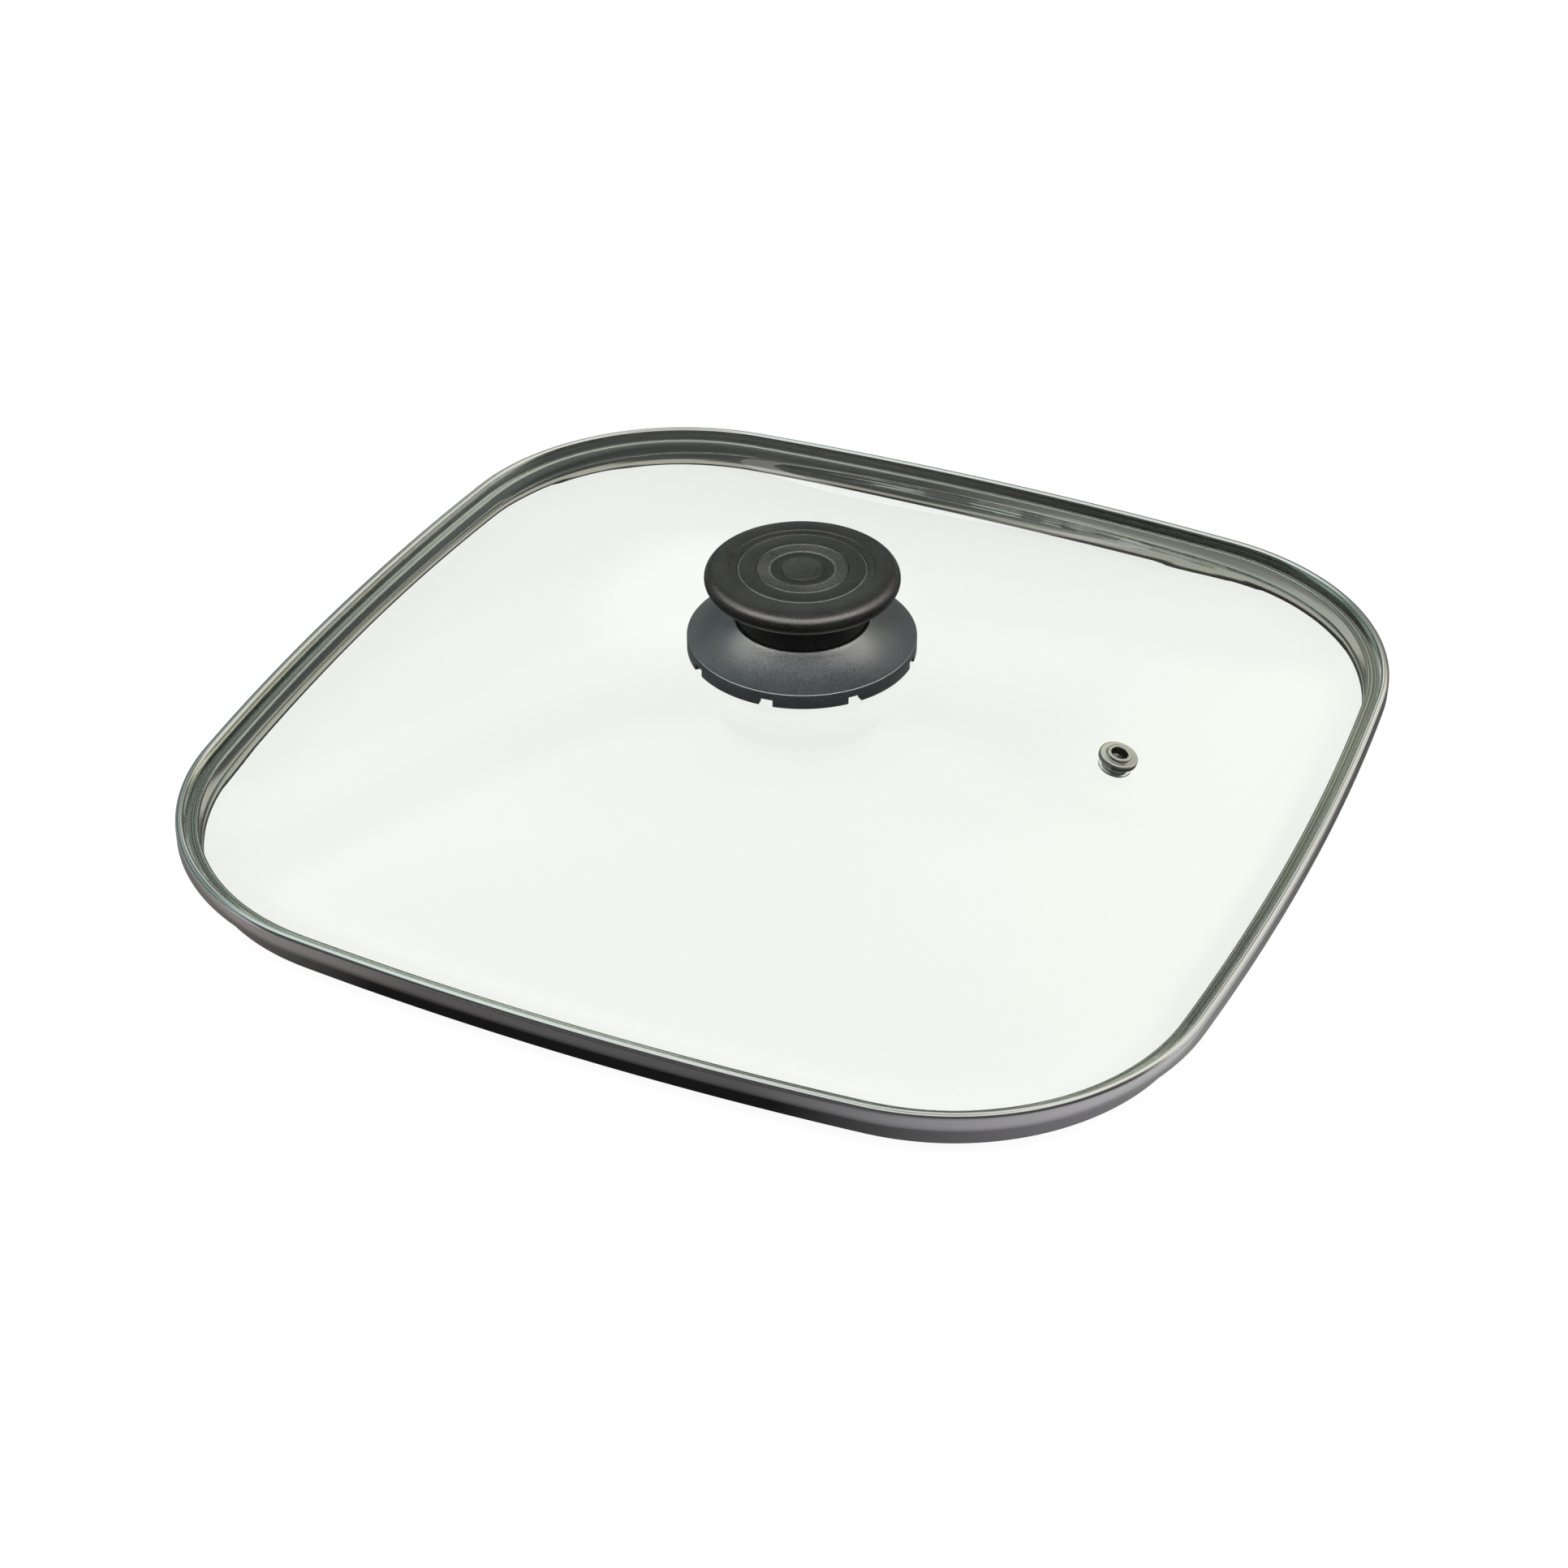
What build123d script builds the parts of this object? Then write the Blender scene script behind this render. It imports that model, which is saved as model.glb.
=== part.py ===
from build123d import *
import os
from math import asin, atan, atan2, cos, degrees, exp, hypot, log, pi, radians, sin, sqrt

# A square glass lid for an electric skillet: a domed pane held in a roll-formed steel rim, with a
# two-piece knob screwed on at its centre and a steel steam vent riveted through it.
# Millimetres. Z points up from the plane that the rim's hem stands on, and X from knob to vent.

# Outline, at the rim's outer wall
half_side = 150.0
corner_radius = 73.2
side_radius = 913.0

# Rim: one folded strip of steel
sheet = 0.5
rim_height = 13.8
wall_height = 5.4
lip_width = 2.3
skirt_inset = 5.8
hem_height = 2.9
bend = 1.0  # outside radius of the strip's bends
hem_round = 0.3

# Glass pane
glass_thickness = 4.0
glass_edge_gap = 0.2
dome_inset = 12.0  # rim's outer wall to the foot of the dome
dome_rise = 26.9
dome_ease = 0.03  # how softly the dome leaves the flat edge
skin_step = 6.0  # spacing of the points that each face of the pane is drawn through
skin_tolerance = 0.01
seat_radius = 10.0  # flat spot at the top, for the knob's gaskets
screw_hole = 4.0
vent_hole = 3.7
vent_distance = 93.5  # along X from the knob's axis

# Knob base, a dish that stands on its foot over the dome
base_radius = 31.9
base_wall = 4.5
base_thickness = 2.3
base_edge = 0.4
base_lift = 0.3  # foot's clearance over the glass
flare_hollow = 0.9
collar_rim = 0.5
collar_height = 9.9  # foot to the top of the collar
collar_depth = 2.0
boss_radius = 7.0
boss_hole = 2.75
notch_count = 8
notch_width = 4.0
notch_height = 2.2
notch_turn = 6.0  # degrees from X to the first notch
base_rib_count = 4
rib_thickness = 1.6

# Knob grip
neck_radius = 18.2
neck_play = 0.3  # neck to the collar, all round
neck_wall = 3.0
grip_radius = 27.0
grip_edge = 3.0  # half the height of the rounded edge
grip_height = 25.4  # foot of the base to the top of the grip
underside_fillet = 2.2
grip_boss_radius = 7.5
grip_rib_count = 4
core_roof = 6.5  # plastic between the neck's hollow and the top
step_radius = 20.1
step_drop = 0.25
inlay_radius = 18.0
inlay_thickness = 1.8
inlay_gap = 0.12
inlay_chamfer = 0.25
groove_radius = 12.7
groove_width = 0.4
sink_outer = 9.0  # sunk ring round the middle of the inlay
sink_inner = 5.85
ring_depth = 0.3

# Threaded fastener, M5 with a 0.8 mm pitch
thread_radius = 2.5
thread_fit = 0.05
thread_engaged = 10.1
thread_chamfer = 0.5
tip_clearance = 1.5
head_radius = 4.75
head_height = 3.2
head_crown = 1.1
recess_width = 1.1
recess_span = 5.0
recess_depth = 2.0
insert_radius = 4.5
insert_cap = 1.0
knurl_count = 18
knurl_depth = 0.35

# Gaskets, washers and the bush in the glass
gasket_radius = 9.5
gasket_hole = 2.8
upper_gasket_thickness = 1.0
under_gasket_thickness = 1.5
washer_radius = 8.0
washer_thickness = 1.0
washer_hole = 2.7
spring_radius = 4.6
spring_thickness = 1.3
spring_gap = 0.8
spring_slant = 30.0
bush_gap = 0.1

# Steam vent, with heights along its own axis from the face of the glass
vent_bore = 2.3
eyelet_wall = 0.6
eyelet_radius = 5.4
eyelet_skirt = 1.3
eyelet_round = 0.5
eyelet_ring = 3.5
eyelet_height = 2.4
eyelet_dish = 0.35
eyelet_gap = 0.1
grommet_thickness = 0.5
grommet_radius = 4.7
vent_washer_radius = 4.6
vent_washer_thickness = 0.6
tail_radius = 3.6
tail_height = 0.7

# Heights of the rim and the flat edge of the pane
lip_underside = rim_height - sheet
ledge_underside = rim_height - wall_height
ledge_top = ledge_underside + sheet
flat_top = (lip_underside + ledge_top + glass_thickness) / 2
flat_underside = flat_top - glass_thickness
pane_inset = sheet + glass_edge_gap
dome_half = half_side - dome_inset
dome_side = side_radius - dome_inset
dome_corner = corner_radius - dome_inset
seat_share = seat_radius / dome_half

# Half of the angle that each side's arc spans, where it runs into the arcs of the corners
side_offset = side_radius - half_side
radius_step = side_radius - corner_radius
corner_centre = (sqrt(2 * radius_step**2 - side_offset**2) - side_offset) / 2
side_bow = asin(corner_centre / radius_step)


def rounded_square(half, side):
    """Draw eight tangent arcs: a square half wide from its centre, with sides of radius side."""
    corner = (half - side * (1 - cos(side_bow) + sin(side_bow))) / (cos(side_bow) - sin(side_bow))
    reach = (side - corner) * sin(side_bow)
    bow = degrees(side_bow)
    for turn in (0, 90, 180, 270):
        side_middle = Vector(half - side, 0).rotate(Axis.Z, turn)
        corner_middle = Vector(reach, reach).rotate(Axis.Z, turn)
        CenterArc(side_middle, side, turn - bow, 2 * bow)
        CenterArc(corner_middle, corner, turn + bow, 90 - 2 * bow)


def foot_reach(angle):
    """Distance from the lid's axis to the foot of the dome, in a direction given in radians."""
    folded = abs((angle + pi / 4) % (pi / 2) - pi / 4)
    across = dome_half - dome_side
    reach = across * cos(folded) + sqrt(dome_side**2 - (across * sin(folded)) ** 2)
    if reach * sin(folded) < dome_side * sin(side_bow):
        return reach
    swing = corner_centre * (cos(folded) - sin(folded))
    return corner_centre * (cos(folded) + sin(folded)) + sqrt(dome_corner**2 - swing**2)


def dome_height(share):
    """Height of the dome over the flat edge, at a share of the way from its centre to its foot."""
    return dome_rise * dome_ease * log(1 + exp((1 - share**2) / dome_ease))


def dome_tilt(share, reach):
    """Angle by which the dome falls outwards there, where its foot is that far from the axis."""
    nearness = 1 / (1 + exp(-(1 - share**2) / dome_ease))
    return atan(2 * share * dome_rise * nearness / reach)


def dome_share(x, y):
    """Share of the way out to the foot. The dome's levels turn from round to square on the way."""
    across = hypot(x, y) / dome_half
    squareness = foot_reach(atan2(y, x)) / dome_half - 1
    share = across
    for step in range(8):
        miss = share + squareness * share**3 - across
        share -= miss / (1 + 3 * squareness * share**2)
    return share


def dome_skin(depth):
    """Return one smooth face over the whole lid, depth under the pane's outer face."""
    reach = half_side + skin_step
    count = round(2 * reach / skin_step)
    stations = [reach * (2 * i / count - 1) for i in range(count + 1)]
    rows = []
    for x in stations:
        row = []
        for y in stations:
            share = dome_share(x, y)
            tilt = dome_tilt(share, foot_reach(atan2(y, x)))
            row.append(Vector(x, y, flat_top + dome_height(share) - depth / cos(tilt)))
        rows.append(row)
    return Face.make_surface_from_array_of_points(rows, tol=skin_tolerance)


os.makedirs("parts", exist_ok=True)

# Rim
with BuildLine() as rim_path:
    rounded_square(half_side, side_radius)
rim_wire = rim_path.wire()
rim_start = Plane(
    origin=rim_wire @ 0,
    x_dir=(rim_wire % 0).rotate(Axis.Z, 90),
    z_dir=rim_wire % 0,
)
half_sheet = sheet / 2
with BuildPart() as rim_band:
    with BuildSketch(rim_start):
        with BuildLine():
            FilletPolyline(
                (lip_width, rim_height - half_sheet),
                (half_sheet, rim_height - half_sheet),
                (half_sheet, ledge_underside + half_sheet),
                (skirt_inset + half_sheet, ledge_underside + half_sheet),
                (skirt_inset + half_sheet, hem_height / 2),
                radius=bend - half_sheet,
            )
        trace(line_width=sheet)
        with Locations((skirt_inset + sheet, hem_height / 2)):
            RectangleRounded(2 * sheet, hem_height, hem_round)
    sweep(path=rim_wire)
rim_band.part.label = "rim_band"
export_step(rim_band.part, "parts/rim_band.step")

# Glass pane
vent_share = vent_distance / dome_half
vent_tilt = dome_tilt(vent_share, dome_half)
vent_plane = Plane(
    origin=(vent_distance, 0, flat_top + dome_height(vent_share)),
    x_dir=(cos(vent_tilt), 0, -sin(vent_tilt)),
    z_dir=(sin(vent_tilt), 0, cos(vent_tilt)),
)
glass_top = flat_top + dome_height(seat_share)
glass_underside = flat_top + dome_height(0) - glass_thickness
with BuildPart() as glass_pane:
    with BuildSketch(Plane.XY.offset(flat_underside - glass_thickness)):
        with BuildLine():
            rounded_square(half_side - pane_inset, side_radius - pane_inset)
        make_face()
    extrude(amount=dome_rise + 3 * glass_thickness)
    extrude(dome_skin(0), amount=2 * dome_rise, dir=(0, 0, 1), mode=Mode.SUBTRACT)
    extrude(dome_skin(glass_thickness), amount=2 * dome_rise, dir=(0, 0, -1), mode=Mode.SUBTRACT)
    with BuildSketch(Plane.XY.offset(glass_top)):
        Circle(2 * seat_radius)
    extrude(amount=glass_thickness, mode=Mode.SUBTRACT)
    with BuildSketch(Plane.XY.offset(glass_underside)):
        Circle(seat_radius)
    extrude(amount=-glass_thickness, mode=Mode.SUBTRACT)
    with BuildSketch(Plane.XY.offset(glass_underside)):
        Circle(screw_hole)
    extrude(amount=glass_thickness, mode=Mode.SUBTRACT)
    with BuildSketch(vent_plane):
        Circle(vent_hole)
    extrude(amount=2 * glass_thickness, both=True, mode=Mode.SUBTRACT)
glass_pane.part.label = "glass_pane"
export_step(glass_pane.part, "parts/glass_pane.step")

# Gaskets above and below the glass, and the bush in its hole
with BuildPart() as upper_gasket:
    with BuildSketch(Plane.XY.offset(glass_top)):
        Circle(gasket_radius)
        Circle(gasket_hole, mode=Mode.SUBTRACT)
    extrude(amount=upper_gasket_thickness)
upper_gasket.part.label = "upper_gasket"
export_step(upper_gasket.part, "parts/upper_gasket.step")

with BuildPart() as under_gasket:
    with BuildSketch(Plane.XY.offset(glass_underside)):
        Circle(gasket_radius)
        Circle(gasket_hole, mode=Mode.SUBTRACT)
    extrude(amount=-under_gasket_thickness)
under_gasket.part.label = "under_gasket"
export_step(under_gasket.part, "parts/under_gasket.step")

with BuildPart() as screw_bush:
    with BuildSketch(Plane.XY.offset(glass_underside)):
        Circle(screw_hole - bush_gap)
        Circle(gasket_hole, mode=Mode.SUBTRACT)
    extrude(amount=glass_top - glass_underside)
screw_bush.part.label = "screw_bush"
export_step(screw_bush.part, "parts/screw_bush.step")

# Washers under the glass
washer_top = glass_underside - under_gasket_thickness
with BuildPart() as flat_washer:
    with BuildSketch(Plane.XY.offset(washer_top)):
        Circle(washer_radius)
        Circle(washer_hole, mode=Mode.SUBTRACT)
    extrude(amount=-washer_thickness)
flat_washer.part.label = "flat_washer"
export_step(flat_washer.part, "parts/flat_washer.step")

spring_top = washer_top - washer_thickness
spring_middle = (washer_hole + spring_radius) / 2
slot = Box(spring_radius, spring_gap, 3 * spring_thickness, mode=Mode.PRIVATE)
slot_place = Location((spring_middle, 0, spring_top - spring_thickness / 2), (spring_slant, 0, 0))
with BuildPart() as spring_washer:
    with BuildSketch(Plane.XY.offset(spring_top)):
        Circle(spring_radius)
        Circle(washer_hole, mode=Mode.SUBTRACT)
    extrude(amount=-spring_thickness)
    add(slot_place * slot, mode=Mode.SUBTRACT)
spring_washer.part.label = "spring_washer"
export_step(spring_washer.part, "parts/spring_washer.step")

# Knob base
boss_foot = glass_top + upper_gasket_thickness
foot_inner = base_radius - base_thickness
foot = flat_top + dome_height(foot_inner / dome_half) + base_lift
wall_top = foot + base_wall
shell_shoulder = wall_top - base_thickness
collar_top = foot + collar_height
socket_floor = collar_top - collar_depth
socket_radius = neck_radius + neck_play
collar_radius = socket_radius + collar_rim
web_radius = collar_radius + base_thickness / 2
web_underside = socket_floor - base_thickness
rib_sink = base_thickness / 3  # how far the ribs run into the shell
with BuildPart() as knob_base:
    with BuildSketch(Plane.XZ):
        with BuildLine():
            Polyline(
                (foot_inner, shell_shoulder),
                (foot_inner, foot),
                (base_radius, foot),
                (base_radius, wall_top - base_edge),
                (base_radius - base_edge, wall_top),
            )
            SagittaArc((base_radius - base_edge, wall_top), (collar_radius, collar_top), flare_hollow)
            Polyline(
                (collar_radius, collar_top),
                (socket_radius, collar_top),
                (socket_radius, socket_floor),
                (boss_hole, socket_floor),
                (boss_hole, boss_foot),
                (boss_radius, boss_foot),
                (boss_radius, web_underside),
                (web_radius, web_underside),
            )
            SagittaArc((web_radius, web_underside), (foot_inner, shell_shoulder), -flare_hollow / 2)
        make_face()
    revolve()
    for rib in range(base_rib_count):
        rib_turn = radians(notch_turn + rib * 360 / base_rib_count + 180 / notch_count)
        rib_along = (cos(rib_turn), sin(rib_turn), 0)
        with BuildSketch(Plane((0, 0, 0), x_dir=rib_along, z_dir=(sin(rib_turn), -cos(rib_turn), 0))):
            with BuildLine():
                SagittaArc(
                    (web_radius, web_underside + rib_sink),
                    (foot_inner + rib_sink, shell_shoulder),
                    -flare_hollow / 2,
                )
                Polyline(
                    (foot_inner + rib_sink, shell_shoulder),
                    (foot_inner + rib_sink, boss_foot),
                    (boss_radius - rib_sink, boss_foot),
                    (boss_radius - rib_sink, web_underside + rib_sink),
                    (web_radius, web_underside + rib_sink),
                )
            make_face()
        extrude(amount=rib_thickness / 2, both=True)
    with BuildSketch(Plane.XY.offset(foot)):
        with PolarLocations(base_radius - base_thickness / 2, notch_count, start_angle=notch_turn):
            Rectangle(2 * base_thickness, notch_width)
    extrude(amount=notch_height, mode=Mode.SUBTRACT)
knob_base.part.label = "knob_base"
export_step(knob_base.part, "parts/knob_base.step")

# Screw, from its seat under the spring washer to its tip in the insert
screw_seat = spring_top - spring_thickness
head_foot = screw_seat - head_height
screw_tip = socket_floor + thread_engaged
with BuildPart() as knob_screw:
    with BuildSketch(Plane.XZ):
        with BuildLine():
            TangentArc((0, head_foot), (head_radius, head_foot + head_crown), tangent=(1, 0))
            Polyline(
                (head_radius, head_foot + head_crown),
                (head_radius, screw_seat),
                (thread_radius, screw_seat),
                (thread_radius, screw_tip - thread_chamfer),
                (thread_radius - thread_chamfer, screw_tip),
                (0, screw_tip),
                (0, head_foot),
            )
        make_face()
    revolve()
    with BuildSketch(Plane.XY.offset(head_foot)):
        Rectangle(recess_span, recess_width)
        Rectangle(recess_width, recess_span)
    extrude(amount=recess_depth, taper=10, mode=Mode.SUBTRACT)
knob_screw.part.label = "knob_screw"
export_step(knob_screw.part, "parts/knob_screw.step")

# Threaded insert, knurled on the outside and blind at the top
insert_bore = thread_engaged + tip_clearance
with BuildPart() as knob_insert:
    with BuildSketch(Plane.XY.offset(socket_floor)):
        Circle(insert_radius)
        with PolarLocations(insert_radius, knurl_count):
            Rectangle(knurl_depth, knurl_depth, rotation=45, mode=Mode.SUBTRACT)
    extrude(amount=insert_bore + insert_cap)
    with BuildSketch(Plane.XY.offset(socket_floor)):
        Circle(thread_radius + thread_fit)
    extrude(amount=insert_bore, mode=Mode.SUBTRACT)
knob_insert.part.label = "knob_insert"
export_step(knob_insert.part, "parts/knob_insert.step")

# Knob grip, hollow round the insert's boss
grip_top = foot + grip_height
edge_middle = grip_radius - grip_edge
underside = grip_top - 2 * grip_edge
recess_rim = grip_top - step_drop
recess_floor = recess_rim - inlay_thickness
hollow_radius = neck_radius - neck_wall
rib_length = hollow_radius - grip_boss_radius + 2 * rib_sink
with BuildPart() as knob_grip:
    with BuildSketch(Plane.XZ) as grip_profile:
        with BuildLine():
            Polyline(
                (0, socket_floor),
                (neck_radius, socket_floor),
                (neck_radius, underside),
                (edge_middle, underside),
            )
            SagittaArc((edge_middle, underside), (edge_middle, grip_top), -grip_edge)
            Polyline(
                (edge_middle, grip_top),
                (step_radius, grip_top),
                (step_radius, recess_rim),
                (inlay_radius, recess_rim),
                (inlay_radius, recess_floor),
                (0, recess_floor),
                (0, socket_floor),
            )
        make_face()
        throat = grip_profile.vertices().sort_by_distance((neck_radius, underside, 0))[0]
        fillet(throat, underside_fillet)
    revolve()
    with BuildSketch(Plane.XY.offset(socket_floor)):
        Circle(hollow_radius)
        Circle(grip_boss_radius, mode=Mode.SUBTRACT)
        with PolarLocations((hollow_radius + grip_boss_radius) / 2, grip_rib_count):
            Rectangle(rib_length, rib_thickness, mode=Mode.SUBTRACT)
    extrude(amount=grip_top - core_roof - socket_floor, mode=Mode.SUBTRACT)
    with BuildSketch(Plane.XY.offset(socket_floor)):
        Circle(thread_radius + thread_fit)
    extrude(amount=insert_bore, mode=Mode.SUBTRACT)
    add(knob_insert.part, mode=Mode.SUBTRACT)
knob_grip.part.label = "knob_grip"
export_step(knob_grip.part, "parts/knob_grip.step")

# Inlay, with its rings
with BuildPart() as knob_inlay:
    with BuildSketch(Plane.XY.offset(recess_floor)):
        Circle(inlay_radius - inlay_gap)
    extrude(amount=inlay_thickness)
    chamfer(knob_inlay.faces().sort_by(Axis.Z)[-1].edges(), inlay_chamfer)
    with BuildSketch(Plane.XY.offset(recess_rim)):
        for outer, inner in (
            (groove_radius + groove_width / 2, groove_radius - groove_width / 2),
            (sink_outer, sink_inner),
        ):
            Circle(outer)
            Circle(inner, mode=Mode.SUBTRACT)
    extrude(amount=-ring_depth, mode=Mode.SUBTRACT)
knob_inlay.part.label = "knob_inlay"
export_step(knob_inlay.part, "parts/knob_inlay.step")

# Steam vent: eyelet, grommet and washer, turned about an axis square to the dome
vent_axis = Axis(vent_plane.origin, vent_plane.z_dir)
vent_section = Plane(
    origin=vent_plane.origin,
    x_dir=vent_plane.x_dir,
    z_dir=-vent_plane.y_dir,
)
barrel_radius = vent_bore + eyelet_wall
flange_underside = eyelet_gap + grommet_thickness
washer_face = -glass_thickness - eyelet_gap
tail_face = washer_face - vent_washer_thickness
with BuildPart() as vent_eyelet:
    with BuildSketch(vent_section) as eyelet_profile:
        with BuildLine():
            Polyline(
                (vent_bore, tail_face - tail_height),
                (tail_radius, tail_face - tail_height),
                (tail_radius, tail_face),
                (barrel_radius, tail_face),
                (barrel_radius, flange_underside),
                (grommet_radius + eyelet_gap, flange_underside),
                (grommet_radius + eyelet_gap, eyelet_gap),
                (eyelet_radius, eyelet_gap),
                (eyelet_radius, eyelet_skirt),
                (eyelet_radius - eyelet_round, eyelet_skirt + eyelet_round),
                (eyelet_ring, eyelet_skirt + eyelet_round - eyelet_dish),
                (eyelet_ring, eyelet_height - eyelet_round),
                (eyelet_ring - eyelet_round, eyelet_height),
                (vent_bore, eyelet_height),
                close=True,
            )
        make_face()
    revolve(axis=vent_axis)
vent_eyelet.part.label = "vent_eyelet"
export_step(vent_eyelet.part, "parts/vent_eyelet.step")

with BuildPart() as vent_gasket:
    with BuildSketch(vent_section):
        with BuildLine():
            Polyline(
                (barrel_radius + eyelet_gap, -glass_thickness),
                (vent_hole - eyelet_gap, -glass_thickness),
                (vent_hole - eyelet_gap, eyelet_gap),
                (grommet_radius, eyelet_gap),
                (grommet_radius, flange_underside),
                (barrel_radius + eyelet_gap, flange_underside),
                close=True,
            )
        make_face()
    revolve(axis=vent_axis)
vent_gasket.part.label = "vent_gasket"
export_step(vent_gasket.part, "parts/vent_gasket.step")

with BuildPart() as vent_washer:
    with BuildSketch(vent_section):
        with Locations(((barrel_radius + eyelet_gap + vent_washer_radius) / 2, washer_face)):
            washer_band = vent_washer_radius - barrel_radius - eyelet_gap
            Rectangle(washer_band, vent_washer_thickness, align=(Align.CENTER, Align.MAX))
    revolve(axis=vent_axis)
vent_washer.part.label = "vent_washer"
export_step(vent_washer.part, "parts/vent_washer.step")
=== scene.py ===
from math import atan2, cos, exp, log, pi, radians, sin, sqrt, tan
import bmesh
import bpy
from mathutils import Matrix, Vector


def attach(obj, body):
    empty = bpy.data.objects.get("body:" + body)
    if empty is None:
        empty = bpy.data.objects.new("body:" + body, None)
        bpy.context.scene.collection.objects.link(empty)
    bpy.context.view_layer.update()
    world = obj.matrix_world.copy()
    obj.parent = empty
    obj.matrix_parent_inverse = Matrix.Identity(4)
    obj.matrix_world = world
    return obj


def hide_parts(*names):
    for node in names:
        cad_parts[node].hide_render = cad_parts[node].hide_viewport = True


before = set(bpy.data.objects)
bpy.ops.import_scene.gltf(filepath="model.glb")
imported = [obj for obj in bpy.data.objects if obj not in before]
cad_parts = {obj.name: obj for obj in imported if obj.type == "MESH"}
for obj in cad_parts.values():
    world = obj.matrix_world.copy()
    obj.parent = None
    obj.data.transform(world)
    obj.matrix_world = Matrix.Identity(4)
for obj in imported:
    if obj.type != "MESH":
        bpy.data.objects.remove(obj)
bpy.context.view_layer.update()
mm = 0.001
weldDistance = 2e-7
print("frame loaded:", len(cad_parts), "nodes")


def addNode(tree, kind, wires=None, **settings):  # wires: socket name or number -> value, node or output socket
    node = tree.nodes.new(kind if "Node" in kind else tree.bl_idname.removesuffix("Tree") + kind)
    for name, value in settings.items():
        setattr(node, name, value)
    for key, value in (wires or {}).items():
        if isinstance(key, str):
            socket = next(s for s in node.inputs if s.name == key and s.enabled)
        else:
            socket = node.inputs[key]
        if isinstance(value, bpy.types.NodeSocket):
            tree.links.new(value, socket)
        elif isinstance(value, bpy.types.Node):
            tree.links.new(next(s for s in value.outputs if s.enabled), socket)
        else:
            socket.default_value = value
    return node


def made(tree, kind, wires=None, **settings):  # a new node's first output
    return addNode(tree, kind, wires, **settings).outputs[0]


def addObject(name, data):
    thing = bpy.data.objects.new(name, data)
    bpy.context.scene.collection.objects.link(thing)
    return thing


def calc(tree, operation, first, second=0.0, third=0.0):
    return made(tree, "ShaderNodeMath", {0: first, 1: second, 2: third}, operation=operation)


def sumOf(operation):
    return lambda tree, first, second: calc(tree, operation, first, second)


add, minus, times, divide = (sumOf(operation) for operation in ("ADD", "SUBTRACT", "MULTIPLY", "DIVIDE"))


def vectorCalc(tree, operation, first, second=(0, 0, 0)):
    node = addNode(tree, "ShaderNodeVectorMath", {0: first, 1: second}, operation=operation)
    return node.outputs["Value" if operation in ("LENGTH", "DOT_PRODUCT") else "Vector"]


def scaled(tree, vector, by):
    return made(tree, "ShaderNodeVectorMath", {0: vector, "Scale": by}, operation="SCALE")


def combined(tree, x=0.0, y=0.0, z=0.0):
    return made(tree, "ShaderNodeCombineXYZ", {0: x, 1: y, 2: z})


def fromObject(tree, holder):
    return addNode(tree, "ObjectInfo", {"Object": holder}, transform_space="ORIGINAL").outputs["Geometry"]


def placedAt(tree, geometry, place, turn=(0, 0, 0)):
    return addNode(tree, "Transform", {"Geometry": geometry, "Translation": place, "Rotation": turn})


def cutBy(tree, whole, tool):
    return addNode(tree, "MeshBoolean", {"Mesh 1": whole, "Mesh 2": tool},
        operation="DIFFERENCE", solver="EXACT")


def joined(tree, first, second):
    whole = addNode(tree, "JoinGeometry", {0: first})
    tree.links.new(second.outputs[0], whole.inputs[0])
    return whole


def newTree(name, sizes):  # sizes: label -> (socket kind, first value)
    tree = bpy.data.node_groups.new(name, "GeometryNodeTree")
    tree.interface.new_socket("Geometry", in_out="INPUT", socket_type="NodeSocketGeometry")
    for label, (kind, value) in sizes.items():
        socket = tree.interface.new_socket(label, in_out="INPUT", socket_type="NodeSocket" + kind)
        if value is not None:
            socket.default_value = value
    tree.interface.new_socket("Geometry", in_out="OUTPUT", socket_type="NodeSocketGeometry")
    return tree, tree.nodes.new("NodeGroupInput").outputs


def endTree(tree, geometry, material, sharp=30.0):  # smooth but for sharp edges, realized, with its material
    smooth = addNode(tree, "SetShadeSmooth", {"Geometry": geometry, "Shade Smooth": True}, domain="FACE")
    angle = made(tree, "InputMeshEdgeAngle")
    corner = calc(tree, "GREATER_THAN", angle, radians(sharp))
    edges = addNode(tree, "SetShadeSmooth",
        {"Geometry": smooth, "Selection": corner, "Shade Smooth": False}, domain="EDGE")
    real = addNode(tree, "RealizeInstances", {"Geometry": edges})
    dressed = addNode(tree, "SetMaterial", {"Geometry": real, "Material": material})
    addNode(tree, "NodeGroupOutput", {0: dressed})
    return tree


def growMesh(name, start, tree, sizes):  # runs a tree on a mesh and hands back a plain mesh
    holder = addObject(name + "Draft", start)
    grower = holder.modifiers.new("grower", "NODES")
    grower.node_group = tree
    for item in tree.interface.items_tree:
        if item.in_out == "INPUT" and item.name in sizes:
            grower[item.identifier] = sizes[item.name]
    graph = bpy.context.evaluated_depsgraph_get()
    mesh = bpy.data.meshes.new_from_object(holder.evaluated_get(graph), preserve_all_data_layers=True, depsgraph=graph)
    holder.modifiers.remove(grower)
    bpy.data.objects.remove(holder)
    return mesh


def keepPiece(name, mesh, body, slotName, *nodes):
    shell = bmesh.new()
    shell.from_mesh(mesh)
    if shell.calc_volume(signed=True) < 0:
        bmesh.ops.reverse_faces(shell, faces=shell.faces)
        shell.to_mesh(mesh)
    shell.free()
    mesh.name = name
    piece = addObject(name, mesh)
    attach(piece, body)
    if nodes:
        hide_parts(*nodes)
    return piece


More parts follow.
